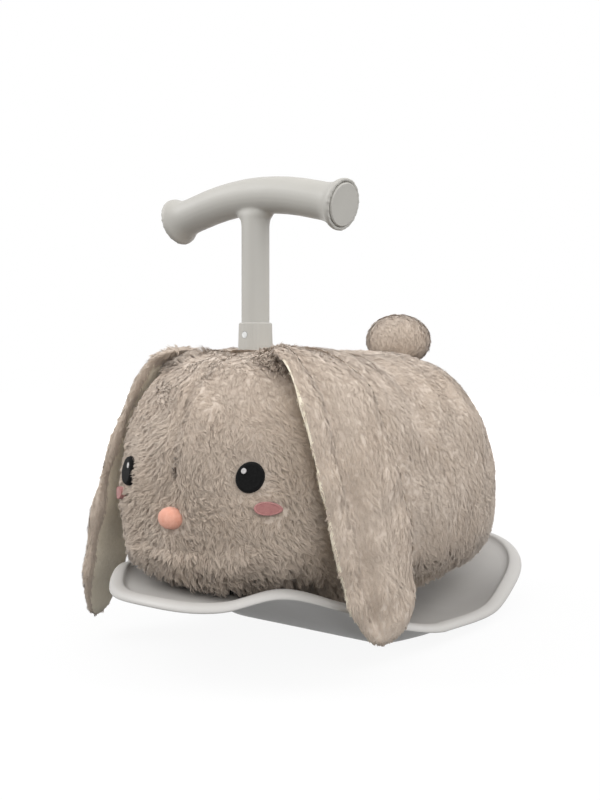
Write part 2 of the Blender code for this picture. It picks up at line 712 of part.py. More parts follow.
def make_tube():
    low = FRAME_BOTTOM + BOARD + FLANGE_HEIGHT + 2 * CLEARANCE
    profile = [
        (TUBE_RADIUS - TUBE_WALL, low),
        (TUBE_RADIUS, low),
        (TUBE_RADIUS, TUBE_TOP),
        (TUBE_RADIUS - TUBE_WALL, TUBE_TOP),
    ]
    placed("stem_tube", moved(turned(profile, TUBE_SEGMENTS, closed=True), (0, STEM_Y, 0)), STEEL)
    floor = FRAME_BOTTOM + BOARD + CLEARANCE
    profile = [
        (FLANGE_RADIUS, floor),
        (FLANGE_RADIUS, floor + FLANGE_HEIGHT),
        (TUBE_RADIUS + FLANGE_SLEEVE_WALL, floor + FLANGE_HEIGHT),
        (TUBE_RADIUS + FLANGE_SLEEVE_WALL, floor + FLANGE_SLEEVE_HEIGHT),
        (TUBE_RADIUS + CLEARANCE, floor + FLANGE_SLEEVE_HEIGHT),
        (TUBE_RADIUS + CLEARANCE, floor + FLANGE_HEIGHT),
    ]
    placed("tube_flange", moved(turned(profile, TUBE_SEGMENTS), (0, STEM_Y, 0)), STEEL)


# Ears, face and tail


def curve_through(points, count):
    """Points read along a Catmull-Rom curve through the points given."""
    ends = [2 * points[0] - points[1]] + points + [2 * points[-1] - points[-2]]
    spans = len(points) - 1
    found = []
    for i in range(count):
        at = i / (count - 1) * spans
        k = min(int(at), spans - 1)
        t = at - k
        a, b, c, d = ends[k : k + 4]
        found.append(
            0.5 * (2 * b + (c - a) * t + (2 * a - 5 * b + 4 * c - d) * t**2 + (3 * b - a - 3 * c + d) * t**3)
        )
    return found


def make_ear(name, side):
    hinge = Vector((side * EAR_HINGE_X, EAR_HINGE_Y, BODY_TOP - EAR_HINGE_DROP))
    steps = LEFT_EAR_ROUTE if side > 0 else RIGHT_EAR_ROUTE
    route = [hinge + Vector((side * out, back, up)) for out, back, up in steps]
    line = curve_through(route, EAR_STEPS)
    rings = []
    for i, centre in enumerate(line):
        share = i / (EAR_STEPS - 1)
        tangent = (line[min(i + 1, EAR_STEPS - 1)] - line[max(i - 1, 0)]).normalized()
        turn = EAR_TURN * smooth_step(share / EAR_TURN_SHARE)
        across = Vector((side * math.sin(turn), math.cos(turn), 0))
        across = (across - tangent * across.dot(tangent)).normalized()
        outward = tangent.cross(across).normalized()
        width = EAR_HALF_WIDTH * np.interp(share, EAR_ALONG_SHARES, EAR_WIDTH_SHARES)
        thick = EAR_HALF_THICKNESS * np.interp(share, EAR_ALONG_SHARES, EAR_THICKNESS_SHARES)
        ring = []
        for k in range(EAR_POINTS):
            x, y = superellipse(width, thick, EAR_ROUNDNESS, 2 * math.pi * k / EAR_POINTS)
            ring.append(centre + across * x + outward * y)
        rings.append(ring)
    ear = placed(name, skinned(rings), FUR, hinge)
    combine(ear, body_mesh(PLUSH_CLEARANCE), "DIFFERENCE", name + "_trim")
    return ear


def patch(name, tree, place, half_x, half_z, thickness, mat, dome=0.0):
    """A pad that lies on the body: rings about a point seen from the front, dropped on the surface."""
    def laid(share, angle, lift):
        x = place[0] + half_x * share * math.cos(angle)
        z = place[1] + half_z * share * math.sin(angle)
        point, normal, _, _ = tree.ray_cast(Vector((x, BODY_FRONT_Y * 2, z)), Vector((0, 1, 0)))
        return point + normal * lift

    angles = [2 * math.pi * i / PATCH_SEGMENTS for i in range(PATCH_SEGMENTS)]
    rings = [[laid(share, a, -thickness) for a in angles] for share in PATCH_UNDER_SHARES]
    for share in PATCH_DOME_SHARES if dome else PATCH_FLAT_SHARES:
        lift = CLEARANCE + thickness + dome * (1 - share**2)
        rings.append([laid(share, a, lift) for a in angles])
    pad = placed(name, skinned(rings), mat)
    combine(pad, body_mesh(PLUSH_CLEARANCE), "DIFFERENCE", name + "_trim")
    return pad


def make_face(tree):
    for side, label in ((1, "left"), (-1, "right")):
        place = (side * EYE_X + FACE_SHIFT, EYE_HEIGHT + side * EYE_TILT)
        patch(label + "_eye", tree, place, EYE_HALF_WIDTH, EYE_HALF_HEIGHT, EYE_THICKNESS, FELT_BLACK)
        place = (side * CHEEK_X + FACE_SHIFT, CHEEK_HEIGHT)
        patch(label + "_cheek", tree, place, CHEEK_HALF_WIDTH, CHEEK_HALF_HEIGHT, CHEEK_THICKNESS, FELT_PINK)
    place = (NOSE_X, NOSE_HEIGHT)
    patch("nose", tree, place, NOSE_HALF_WIDTH, NOSE_HALF_HEIGHT, NOSE_EDGE, FELT_CORAL, NOSE_THICKNESS)


def make_tail():
    rings = []
    for i in range(1, TAIL_RINGS):
        polar = math.pi * i / TAIL_RINGS
        radius = TAIL_RADIUS * math.sin(polar)
        z = TAIL_HEIGHT + TAIL_HALF_HEIGHT * math.cos(polar)
        angles = [2 * math.pi * k / TAIL_SEGMENTS for k in range(TAIL_SEGMENTS)]
        rings.append([(radius * math.cos(a), TAIL_Y + radius * math.sin(a), z) for a in angles])
    tail = placed("tail_pompom", skinned(rings), FUR, (0, TAIL_Y, TAIL_HEIGHT))
    combine(tail, body_mesh(PLUSH_CLEARANCE), "DIFFERENCE", "tail_trim")
    return tail


for old in list(bpy.data.objects):
    bpy.data.objects.remove(old)

PLASTIC = material("tray_plastic", (0.58, 0.57, 0.56), 0.42)
PLASTIC_WARM = material("handle_plastic", (0.56, 0.54, 0.51), 0.45)
FUR = material("plush_fur", (0.42, 0.33, 0.27), 0.95)
FELT_BLACK = material("black_felt", (0.012, 0.012, 0.014), 0.85)
FELT_CORAL = material("coral_felt", (0.80, 0.35, 0.27), 0.85)
FELT_PINK = material("pink_felt", (0.78, 0.40, 0.38), 0.85)
STEEL = material("zinc_plated_steel", (0.66, 0.66, 0.65), 0.30, 1.0)
WOOD = material("plywood", (0.60, 0.44, 0.27), 0.70)
FOAM = material("seat_foam", (0.78, 0.76, 0.68), 0.95)

make_tray()
make_body()
skin = body_mesh()
face_out(skin)
tree = BVHTree.FromBMesh(skin)
skin.free()
for number, bm in enumerate(make_frame(), 1):
    placed(f"frame_screw_{number}", bm, STEEL)
make_foam()
make_fixings()
make_handle()
make_collar()
make_tube()
make_ear("left_ear", 1)
make_ear("right_ear", -1)
make_face(tree)
make_tail()
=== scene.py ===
"""The looks of a plush bunny ride on rocker: long pile fur over a stuffed body, lop ears with a cream
lining, felt face pads, a moulded handle and a moulded rocker tray. Metres, +Z up, the face to -Y."""

import math

import bmesh
import bpy
import numpy as np
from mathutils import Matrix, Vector
from mathutils.bvhtree import BVHTree


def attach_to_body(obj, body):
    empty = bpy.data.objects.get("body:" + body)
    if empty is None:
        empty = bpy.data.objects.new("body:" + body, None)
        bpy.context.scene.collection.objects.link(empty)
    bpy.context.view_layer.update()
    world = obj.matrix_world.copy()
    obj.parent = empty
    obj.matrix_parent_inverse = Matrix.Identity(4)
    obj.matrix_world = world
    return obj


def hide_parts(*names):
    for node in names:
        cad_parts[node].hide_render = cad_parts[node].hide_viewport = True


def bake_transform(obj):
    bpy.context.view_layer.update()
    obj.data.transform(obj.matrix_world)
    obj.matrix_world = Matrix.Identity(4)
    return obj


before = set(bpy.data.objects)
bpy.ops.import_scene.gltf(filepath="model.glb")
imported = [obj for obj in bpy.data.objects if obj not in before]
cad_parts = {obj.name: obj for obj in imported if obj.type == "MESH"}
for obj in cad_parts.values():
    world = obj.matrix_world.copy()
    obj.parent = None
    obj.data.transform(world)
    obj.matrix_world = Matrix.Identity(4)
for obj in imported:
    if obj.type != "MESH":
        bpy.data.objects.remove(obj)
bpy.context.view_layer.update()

RNG = np.random.default_rng(11)
SIDES = ((1, "left"), (-1, "right"))
RIPPLE_WAVES, RIPPLE_SPREAD, RIPPLE_SUM = 6, (0.7, 1.4), 2.6

# Body: the same stations as the solid, with a pole at each end
BODY_FRONT_Y, BODY_REAR_Y = -0.266, 0.237
BODY_HALF_WIDTH, BODY_TOP, BODY_BOTTOM = 0.139, 0.326, 0.034
BODY_ROUNDNESS, BODY_SAG_SHARE = 2.7, 0.05
# Each station: place along, half width, drop of the top and rise of the bottom, as shares
BODY_STATIONS = (
    (0.0, 0.0, 0.5075, 0.4925), (0.008, 0.30, 0.345, 0.33),
    (0.026, 0.52, 0.235, 0.27), (0.060, 0.72, 0.140, 0.225),
    (0.110, 0.86, 0.070, 0.19), (0.18, 0.95, 0.022, 0.165),
    (0.27, 0.995, 0.004, 0.125), (0.38, 0.985, 0.010, 0.065),
    (0.50, 0.975, 0.026, 0.02), (0.62, 0.985, 0.024, 0.0),
    (0.74, 1.0, 0.030, 0.0), (0.84, 0.985, 0.070, 0.0),
    (0.905, 0.91, 0.145, 0.02), (0.955, 0.76, 0.255, 0.06),
    (0.985, 0.54, 0.38, 0.14), (1.0, 0.0, 0.62, 0.38),
)
POLE_ROWS = 3
BODY_LUMPS = (0.0015, 0.110, 3)  # height, spacing, seed
SKIN_INSET, SKIN_INSET_REAR = 0.0050, 0.0100
SKIN_BRUSHED_RISE, SKIN_UNDER_RISE = 0.0015, 0.003
SKIN_ROWS, SKIN_COLUMNS = 130, 160

# Folds of the skin: fine wrinkles, the face's seam between two soft lips, and a tuck round the stem
WRINKLES, SEAM_DEPTH, SEAM_WIDTH = (0.0010, 0.045, 4), 0.0040, 0.0045
SEAM_LIP_HEIGHT, SEAM_LIP_X, SEAM_LIP_WIDTH = 0.0022, 0.012, 0.009
TUCK_DEPTH, TUCK_RADIUS, TUCK_WIDTH = 0.004, 0.022, 0.012

# Tray: the same plan and heights as the solid. The rim has a height at each bearing, and the lip a
# distance out and a drop at each row
TRAY_HALF_WIDTH, TRAY_HALF_LENGTH = 0.146, 0.285
TRAY_ROUNDNESS_FRONT, TRAY_ROUNDNESS_REAR = 2.3, 3.2
TRAY_WALL, TRAY_LIP_DROP = 0.004, 0.0078
RIM_PROFILE = (
    (-90.0, 0.084), (-64.0, 0.084), (-47.0, 0.093), (-30.0, 0.072),
    (-12.0, 0.039), (4.0, 0.0205), (12.0, 0.0205), (25.0, 0.037),
    (47.0, 0.055), (90.0, 0.075),
)
LIP_PROFILE = (
    (-0.0032, 0.0036), (-0.0030, 0.0022), (-0.0022, 0.0009), (-0.0008, 0.0001),
    (0.0012, 0.0), (0.004, 0.0004), (0.007, 0.0012), (0.0095, 0.0026),
    (0.0112, 0.0044), (0.0119, 0.0060), (0.0120, 0.0070), (0.0116, 0.0076),
    (0.0104, 0.0078), (0.0070, 0.0076), (0.0040, 0.0079),
)
SOLE_FRONT_Y, SOLE_REAR_Y = -0.030, 0.126
SOLE_RISE_FRONT, SOLE_RISE_REAR = 0.072, 0.048
SOLE_RUN_FRONT_SHARE, SOLE_RUN_REAR_SHARE = 0.60, 1.3
SOLE_SHARE, HULL_CURVE = 0.60, 2.2
# First and last share of the way to the rim and how many rows, inside the tray and under it
TRAY_OVER, TRAY_UNDER, TRAY_SEGMENTS = (0.02, 0.965, 40), (0.99, 0.02, 34), 240
TRAY_REACH_SHARE, PILE_ABOVE_TRAY = 1.05, 0.0008

# Handle
STEM_Y, STEM_CLEARANCE = -0.134, 0.0175
HANDLE_VOXEL, HANDLE_SMOOTHING, HANDLE_SMOOTHINGS = 0.0015, 0.5, 6

# Ears: the hinge on the crown, then the middle line in steps out, back and up
EAR_HINGE_X, EAR_HINGE_Y, EAR_HINGE_DROP = 0.064, -0.170, 0.007
EAR_ROUTES = {
    1: (
        (0.006, 0.000, 0.000), (0.039, -0.002, -0.012), (0.070, -0.003, -0.046),
        (0.088, 0.001, -0.099), (0.099, 0.012, -0.163), (0.106, 0.020, -0.229),
        (0.110, 0.028, -0.281),
    ),
    -1: (
        (0.006, 0.003, 0.000), (0.034, 0.004, -0.016), (0.062, 0.001, -0.054),
        (0.080, -0.008, -0.104), (0.092, -0.018, -0.168), (0.105, -0.025, -0.236),
        (0.113, -0.029, -0.296),
    ),
}
EAR_HALF_WIDTH, EAR_HALF_THICKNESS, EAR_ROUNDNESS = 0.050, 0.0135, 2.2
EAR_INSET, EAR_THIN_SHARE = 0.0035, 0.8
EAR_TURN, EAR_TURN_SHARE = math.radians(18), 0.4
EAR_ALONG_SHARES = (0.0, 0.08, 0.25, 0.5, 0.7, 0.85, 0.94, 0.98, 1.0)
EAR_WIDTH_SHARES = (0.62, 0.72, 0.90, 1.0, 0.98, 0.87, 0.68, 0.50, 0.20)
EAR_THICKNESS_SHARES = (0.5, 0.62, 0.72, 0.9, 1.0, 0.95, 0.85, 0.65, 0.3)
EAR_ROWS, EAR_COLUMNS = 110, 96
EAR_ROOT_SHARE, EAR_ROOT_START = 0.09, 0.3
EAR_HOLLOW, EAR_LUMPS = 0.45, {1: (0.0012, 0.05, 42), -1: (0.0012, 0.05, 40)}
EAR_FOLD_DEPTH, EAR_FOLD_WIDTH, EAR_FOLD_AT, EAR_FOLD_DRIFT = 0.0085, 0.20, 0.25, 0.18
EAR_FOLD_ROOT, EAR_FOLD_TIP = (0.0, 0.2), (1.0, 0.15)
EAR_LINING = {1: (168, 356), -1: (214, 338)}
EAR_LINING_START = 0.14
EAR_TIP_FADE, EAR_TIP_SHORTENING = (0.85, 0.12), 0.5

# Face: places and half sizes of the felt pads, seen from the front
FACE_SHIFT, EYE_TILT = 0.0052, 0.0022
EYE_X, EYE_HEIGHT, EYE_HALF_WIDTH, EYE_HALF_HEIGHT = 0.078, 0.196, 0.0124, 0.0146
NOSE_X, NOSE_HEIGHT, NOSE_HALF_WIDTH, NOSE_HALF_HEIGHT = 0.002, 0.155, 0.0136, 0.0110
CHEEK_X, CHEEK_HEIGHT, CHEEK_HALF_WIDTH, CHEEK_HALF_HEIGHT = 0.093, 0.170, 0.0090, 0.0064
GLINT_IN, GLINT_UP, GLINT_HALF_WIDTH, GLINT_HALF_HEIGHT = 0.0052, 0.0056, 0.0026, 0.0030
EYE_LIFT, GLINT_LIFT, CHEEK_LIFT, NOSE_LIFT, NOSE_DOME = 0.0060, 0.0066, 0.0058, 0.0050, 0.0070
PAD_RINGS, PAD_COLUMNS, PAD_SINK = 14, 64, 0.0020
PAD_EDGE_SHARE, PAD_EDGE_HEIGHT, PAD_EDGE_RISE = 0.12, 0.45, 0.55
PAD_COVER, PAD_CLIP_SHARE, PAD_CLIP_RUN, PAD_FAR, PAD_REAR_Y = 0.06, 0.30, 0.7, -9.0, -0.10
STITCHES, STITCH_REACH, STITCH_RADIUS, STITCH_INSET, STITCH_SIDES = 72, 0.10, 0.00035, 0.001, 4
STITCH_CROWN, STITCH_END_SINK = 0.6, 0.5
RAY_FRONT_Y, RAY_TOP = -0.5, 0.5

# Tail and the seam drawn together beside it
TAIL_Y, TAIL_HEIGHT, TAIL_RADIUS, TAIL_HALF_HEIGHT = 0.148, 0.331, 0.044, 0.036
TAIL_INSET, TAIL_POLE, TAIL_ROWS, TAIL_COLUMNS = 0.0040, 0.02, 40, 60
TAIL_PILE_BOTTOM, TAIL_COMB = 0.304, (0.5, -0.5, -0.9)
GATHER_X, GATHER_Y, GATHER_TURN = 0.060, 0.146, math.radians(22)
GATHER_HALF_LENGTH, GATHER_HALF_WIDTH = 0.020, 0.0085
GATHER_ROWS, GATHER_COLUMNS, GATHER_SHARES = 12, 64, (1.15, 0.02)
GATHER_LIFT, GATHER_SINK = 0.0026, 0.0015
PUCKER_HEIGHT, PUCKER_ALONG, PUCKER_ACROSS, PUCKER_SLANT = 0.0010, 2400, 700, 300

# Where parts of the body fade into each other: a place or a share of the normal, and the run
REAR_FADE, UNDER_FACING, UNDER_FADE = (0.08, 0.10), (-0.2, 0.5), (0.02, 0.08)
BRUSHED_FACING, FOREHEAD_FADE, SEAM_TOP_RUN = (-0.55, 0.4), (-0.150, 0.05), 0.02
FACE_FACING, TOP_FACING, BELLY_FACING = (-0.25, 0.4), (0.15, 0.5), (-0.25, 0.5)
CHEEK_FACING, CHEEK_FADE, CHEEK_TOP_FACING = (0.10, 0.45), (-0.07, 0.08), (0.5, 0.4)
BROW_FADE, BROW_SHARE = (0.185, 0.10), 0.75
COLLAR_FADE, EAR_ROOT_FADE = (0.029, 0.008), (0.030, 0.012)
CROWN_SPREAD, PARTING_FADE = 0.05, (0.02, 0.08)
UPPER_HALF, CROWN_HEIGHT = 0.2, 0.25

# The way the body's pile lies
COMB_NOSE_OUT, COMB_NOSE_STRETCH, COMB_FACE_DOWN = 0.8, (1.0, 1.0, 0.35), (0.0, 0.0, -0.75)
COMB_SIDE, COMB_CROWN_OUT, COMB_CROWN_BACK, COMB_BROW_DOWN = (0.0, 0.45, -0.85), 0.8, 0.7, 0.3

# Height, spacing and first seed of the slow wander of the comb
BODY_WANDER, EAR_WANDER, TAIL_WANDER = (0.45, 0.05, 21), (0.35, 0.04, 51), (0.4, 0.03, 61)

# Pile: tufts per square metre
BODY_TUFTS, EAR_TUFTS, LINING_TUFTS, TAIL_TUFTS = 78000, 78000, 40000, 100000
QUICK_SHARE, MOST_BLADES = 0.25, 62000
# Length, lean from the normal at the tip, spread of a tuft's root, width of a ribbon, ribbons in a tuft
# and roughness, 1 for shaggy pile and less for brushed pile
EAR_PILE = (0.0066, 1.38, 0.0028, 0.0009, 7, 0.5)
LINING_PILE = (0.0028, 1.1, 0.0022, 0.0008, 4, 0.45)
TAIL_PILE = (0.0068, 1.38, 0.0026, 0.0010, 7, 0.45)
BODY_PILE = (0.0066, 1.40, 0.0028, 0.0009, 7, 0.45)
BODY_PILE_WAVE, SHAGGY_ROUGHNESS, SHAGGY_BELLY_SHARE = (0.0010, 0.06, 31), 0.50, 0.8
HIDDEN_FACING, HIDDEN_SHARE = -0.75, 0.6
# What a region adds to the pile's length and takes from its lean
FACE_PILE, BELLY_PILE = (0.0024, 0.24), (0.0030, 0.45)
COLLAR_PILE, EAR_ROOT_PILE = (0.0014, 0.35), (0.0050, 0.50)

# How far tufts and their ribbons stray
TUFT_SWING, TUFT_TILT, TUFT_LENGTHS = 0.45, 0.14, (0.8, 1.2)
CLUMP_SHARE, CLUMP_ROUGH_SHARE = 0.35, 0.20
BLADE_TURN, BLADE_TWIST, BLADE_LENGTHS, BLADE_WIDTHS = 0.16, 0.12, (0.75, 1.12), (0.7, 1.25)
BLADE_SINK, BLADE_TIP_STRAY, BLADE_MIDDLE_STRAY = 0.0005, 0.0009, 0.0004
BLADE_MIDDLE_RUN, BLADE_MIDDLE_RISE, BLADE_MIDDLE_WIDTH = 0.36, 0.86, 0.8
SHADING_LEAN, SHADING_STRAY, SHADE_BY_TUFT, SHADE_BY_BLADE = 0.15, 0.22, 0.7, 0.3
# A ribbon is a quad and a triangle over five points, each a share of the way from root to tip
RIBBON_CORNERS, RIBBON_STARTS, RIBBON_ALONG = (0, 1, 2, 3, 3, 2, 4), (0, 4), (0.0, 0.0, 0.62, 0.62, 1.0)

# Finishes. Plastic: light and dark tone, roughness. Pile: root, tip and a cooler tint. Cloth: two tones,
# roughness, scale of the threads, and their depth and sheen where they aren't the usual ones
PLASTICS = {
    "tray_plastic_finish": ((0.475, 0.46, 0.44), (0.44, 0.425, 0.405), 0.42),
    "handle_plastic_finish": ((0.43, 0.417, 0.385), (0.395, 0.382, 0.353), 0.48),
}
PILES = {
    "plush_pile": ((0.425, 0.343, 0.272), (0.615, 0.525, 0.443), (0.95, 0.93, 0.91)),
    "ear_lining_pile": ((0.82, 0.73, 0.57), (0.93, 0.86, 0.71), (0.97, 0.96, 0.94)),
}
CLOTHS = {
    "plush_backing": ((0.54, 0.455, 0.385), (0.64, 0.55, 0.465), 0.95, 420.0, 0.0006),
    "ear_lining": ((0.85, 0.77, 0.61), (0.93, 0.85, 0.70), 0.95, 600.0, 0.0006),
    # Gathered seam by the tail: a real grey seam, made darker as painted shade where the tail's shadow
    # falls at its base
    "gathered_backing_painted_shade": ((0.15, 0.135, 0.12), (0.46, 0.43, 0.40), 0.9, 1500.0, 0.0004),
    "eye_felt": ((0.005, 0.005, 0.005), (0.012, 0.012, 0.012), 0.8, 1800.0, 0.00015, 0.05),
    "eye_glint_thread": ((0.42, 0.40, 0.39), (0.62, 0.60, 0.59), 0.6, 2200.0),
    "nose_felt": ((0.68, 0.31, 0.22), (0.77, 0.41, 0.31), 0.9, 700.0, 0.0003),
    "cheek_felt": ((0.33, 0.140, 0.135), (0.42, 0.20, 0.185), 0.9, 1300.0),
    "cheek_thread": ((0.40, 0.18, 0.17), (0.52, 0.26, 0.245), 0.6, 2500.0),
    "foam_finish": ((0.70, 0.68, 0.60), (0.80, 0.78, 0.70), 0.95, 500.0, 0.0006),
}

# Camera, floor and light
CAMERA_AZIMUTH, CAMERA_DISTANCE, CAMERA_HEIGHT = math.radians(38), 1.10, 0.315
CAMERA_OFFSET, CAMERA_LENS, CAMERA_SHIFT, CAMERA_SENSOR = 0.0475, 46.4, -0.059, 36.0
FLOOR_HALF_SIZE, FLOOR_COLOUR, WHITE = 6.0, (0.14, 0.14, 0.14), (1.0, 1.0, 1.0)
FLOOR_GLOW, FLOOR_GLOW_SHARE, FLOOR_GLOW_NEAR, FLOOR_GLOW_FAR = 1.83, 0.50, 0.6, 2.0
WORLD_LIGHT = 0.90
# Name, place, target, size and power
LAMPS = (
    ("key", (1.3, 0.7, 1.9), (0, 0, 0.2), 1.4, 16.0),
    ("fill", (1.5, -1.3, 1.05), (0, -0.1, 0.15), 1.6, 19.0),
    ("rim", (-1.2, -1.1, 1.4), (0, 0, 0.2), 1.2, 18.0),
)


# Small helpers


def unit(v):
    return v / np.maximum(np.linalg.norm(v, axis=-1, keepdims=True), 1e-12)


def smooth_step(t):
    t = np.clip(t, 0.0, 1.0)
    return t * t * (3 - 2 * t)


def fade_in(values, start, run):
    """0 up to start, 1 from start and run on."""
    return smooth_step((values - start) / run)


def fade_out(values, end, run):
    """1 until a run before the end, 0 from the end on."""
    return smooth_step((end - values) / run)


def bell(values, middle, width):
    return np.exp(-(((values - middle) / width) ** 2))


def loop_angles(count):
    return 2 * math.pi * np.arange(count) / count


def spline(points, at):
    """Catmull-Rom through rows of points, read at positions counted in rows."""
    points = np.asarray(points, float)
    ends = np.vstack([2 * points[0] - points[1], points, 2 * points[-1] - points[-2]])
    k = np.clip(at.astype(int), 0, len(points) - 2)
    t = (at - k)[:, None]
    a, b, c, d = ends[k], ends[k + 1], ends[k + 2], ends[k + 3]
    curve = (2 * a - 5 * b + 4 * c - d) * t**2 + (3 * b - a - 3 * c + d) * t**3
    return 0.5 * (2 * b + (c - a) * t + curve)


def rounded(angle, power):
    """A point of a unit ellipse that a higher power makes more of a box."""
    return tuple(np.sign(v) * np.abs(v) ** (2 / power) for v in (np.cos(angle), np.sin(angle)))


def ripple(p, height, spacing, seed):
    """A smooth field over space, about a height up and down, from a few sine waves."""
    rng = np.random.default_rng(seed)
    total = np.zeros(len(p))
    for _ in range(RIPPLE_WAVES):
        wave = unit(rng.normal(size=3)) * (2 * math.pi / spacing) * rng.uniform(*RIPPLE_SPREAD)
        total += np.sin(p @ wave + rng.uniform(0, 2 * math.pi))
    return height * (total / RIPPLE_SUM)


def wander(p, height, spacing, seed):
    """A slow drift of direction over space."""
    return np.stack([ripple(p, height, spacing, seed + k) for k in range(3)], axis=1)


def add_object(name, data):
    made = bpy.data.objects.new(name, data)
    bpy.context.scene.collection.objects.link(made)
    return made


def linked(name, mesh, material, smooth=True):
    if smooth:
        mesh.shade_smooth()
    mesh.materials.append(material)
    return add_object(name, mesh)


def grid_faces(rows, columns):
    """Quads of a grid whose columns run round a loop."""
    row = np.arange(rows - 1)[:, None] * columns
    column = np.arange(columns)[None, :]
    after = (column + 1) % columns
    corners = [row + column, row + after, row + columns + after, row + columns + column]
    return np.stack(corners, axis=-1).reshape(-1, 4)


def grid_mesh(name, points, second=None):
    """A mesh over a grid of points, rows by columns by 3, its two ends closed by fans. Faces marked in
    second, rows less one by columns, take the second material."""
    rows, columns = points.shape[:2]
    faces = grid_faces(rows, columns).tolist()
    flat = np.vstack([points.reshape(-1, 3), points[0].mean(0), points[-1].mean(0)])
    low, high, last = rows * columns, rows * columns + 1, (rows - 1) * columns
    for i in range(columns):
        j = (i + 1) % columns
        faces.append((j, i, low))
        faces.append((last + i, last + j, high))
    mesh = bpy.data.meshes.new(name)
    mesh.from_pydata(flat.tolist(), [], faces)
    if second is not None:
        ends = np.stack([second[0], second[-1]], axis=1)
        marks = np.concatenate([second.reshape(-1), ends.reshape(-1)]).astype(np.int32)
        mesh.polygons.foreach_set("material_index", marks)
    joined = bmesh.new()
    joined.from_mesh(mesh)
    bmesh.ops.remove_doubles(joined, verts=joined.verts, dist=1e-6)
    bmesh.ops.recalc_face_normals(joined, faces=joined.faces)
    joined.to_mesh(mesh)
    joined.free()
    return mesh


def grid_normals(points):
    """Outward unit normals of a closed grid: rows along, columns round."""
    along = np.gradient(points, axis=0)
    padded = np.concatenate([points[:, -1:], points, points[:, :1]], axis=1)
    around = (padded[:, 2:] - padded[:, :-2]) / 2
    normals = unit(np.cross(along, around))
    middle = points.mean(axis=1, keepdims=True)
    facing = np.sum(normals * (points - middle), axis=-1)
    return normals * (1.0 if facing.mean() > 0 else -1.0)


def surface_tree(skin):
    whole = bmesh.new()
    whole.from_mesh(skin.data)
    tree = BVHTree.FromBMesh(whole)
    whole.free()
    return tree


# Materials


def set_inputs(node, **values):
    """Plain values for a node's inputs, whose names have _ for a space."""
    for name, value in values.items():
        value = (*value, 1.0) if isinstance(value, tuple) else value
        node.inputs[name.replace("_", " ")].default_value = value


def add_node(tree, kind, **values):
    node = tree.nodes.new("ShaderNode" + kind)
    set_inputs(node, **values)
    return node


def new_material(name, **values):
    made = bpy.data.materials.new(name)
    made.use_nodes = True
    shader = made.node_tree.nodes["Principled BSDF"]
    set_inputs(shader, **values)
    return made, made.node_tree, shader


def noise(tree, scale, detail, roughness=0.5):
    """A cloudy field of 0 to 1 over an object."""
    where = add_node(tree, "TexCoord").outputs["Object"]
    node = add_node(tree, "TexNoise", Scale=scale, Detail=detail, Roughness=roughness)
    tree.links.new(where, node.inputs["Vector"])
    return node.outputs["Fac"]


def ramp(tree, source, low, high, places=(0.3, 0.7)):
    """A colour between two, as the source goes from one place to the other."""
    node = add_node(tree, "ValToRGB")
    for element, place, colour in zip(node.color_ramp.elements, places, (low, high)):
        element.position = place
        element.color = (*colour, 1.0)
    tree.links.new(source, node.inputs["Fac"])
    return node.outputs["Color"]


def mixed(tree, kind, factor, one, other):
    """A colour mix. Each input is a socket or a plain value."""
    node = add_node(tree, "Mix")
    node.data_type = "RGBA"
    node.blend_type = kind
    for socket, value in zip((node.inputs[0], node.inputs[6], node.inputs[7]), (factor, one, other)):
        if isinstance(value, bpy.types.NodeSocket):
            tree.links.new(value, socket)
        else:
            socket.default_value = (*value, 1.0) if isinstance(value, tuple) else value
    return node.outputs[2]


def add_finish(tree, shader, colour, height, distance, strength):
    """Gives a shader its colour and its bump."""
    tree.links.new(colour, shader.inputs["Base Color"])
    bump = add_node(tree, "Bump", Distance=distance, Strength=strength)
    tree.links.new(height, bump.inputs["Height"])
    tree.links.new(bump.outputs["Normal"], shader.inputs["Normal"])


def plastic_material(name, light, dark, roughness):
    """Moulded plastic: a fine spark grain, slow changes of tone and of gloss."""
    made, tree, shader = new_material(name)
    tone = ramp(tree, noise(tree, scale=9.0, detail=3.0), dark, light)
    gloss = add_node(tree, "MapRange", To_Min=roughness - 0.06, To_Max=roughness + 0.10)
    tree.links.new(noise(tree, scale=55.0, detail=6.0, roughness=0.65), gloss.inputs["Value"])
    tree.links.new(gloss.outputs["Result"], shader.inputs["Roughness"])
    grain = noise(tree, scale=2600.0, detail=2.0)
    add_finish(tree, shader, tone, grain, distance=0.00006, strength=0.5)
    return made


def fur_material(name, root, tip, cool):
    """Pile fibres: dark at the root, pale at the tip, each tuft and each region a little different."""
    made, tree, shader = new_material(
        name, Roughness=0.85, Sheen_Weight=0.25, Sheen_Roughness=0.5, Specular_IOR_Level=0.15
    )
    pile, tuft = add_node(tree, "Attribute"), add_node(tree, "Attribute")
    pile.attribute_name, tuft.attribute_name = "pile", "tuft"
    colour = mixed(tree, "MIX", pile.outputs["Fac"], root, tip)
    cloud = noise(tree, scale=16.0, detail=3.0)
    region = ramp(tree, cloud, cool, WHITE, (0.35, 0.62))
    shade = ramp(tree, tuft.outputs["Fac"], (0.88, 0.87, 0.86), (1.06, 1.06, 1.06), (0.0, 1.0))
    for tint in (region, shade):
        colour = mixed(tree, "MULTIPLY", 1.0, colour, tint)
    tree.links.new(colour, shader.inputs["Base Color"])
    return made


def cloth_material(name, low, high, roughness, weave, depth=0.0002, sheen=0.2):
    """Felt or short plush: mottled colour and a fine fibrous bump."""
    made, tree, shader = new_material(
        name, Roughness=roughness, Sheen_Weight=sheen, Specular_IOR_Level=sheen
    )
    mottle = noise(tree, scale=weave * 0.25, detail=5.0, roughness=0.6)
    threads = noise(tree, scale=weave, detail=4.0, roughness=0.7)
    tone = ramp(tree, mottle, low, high, (0.25, 0.75))
    add_finish(tree, shader, tone, threads, distance=depth, strength=0.8)
    return made


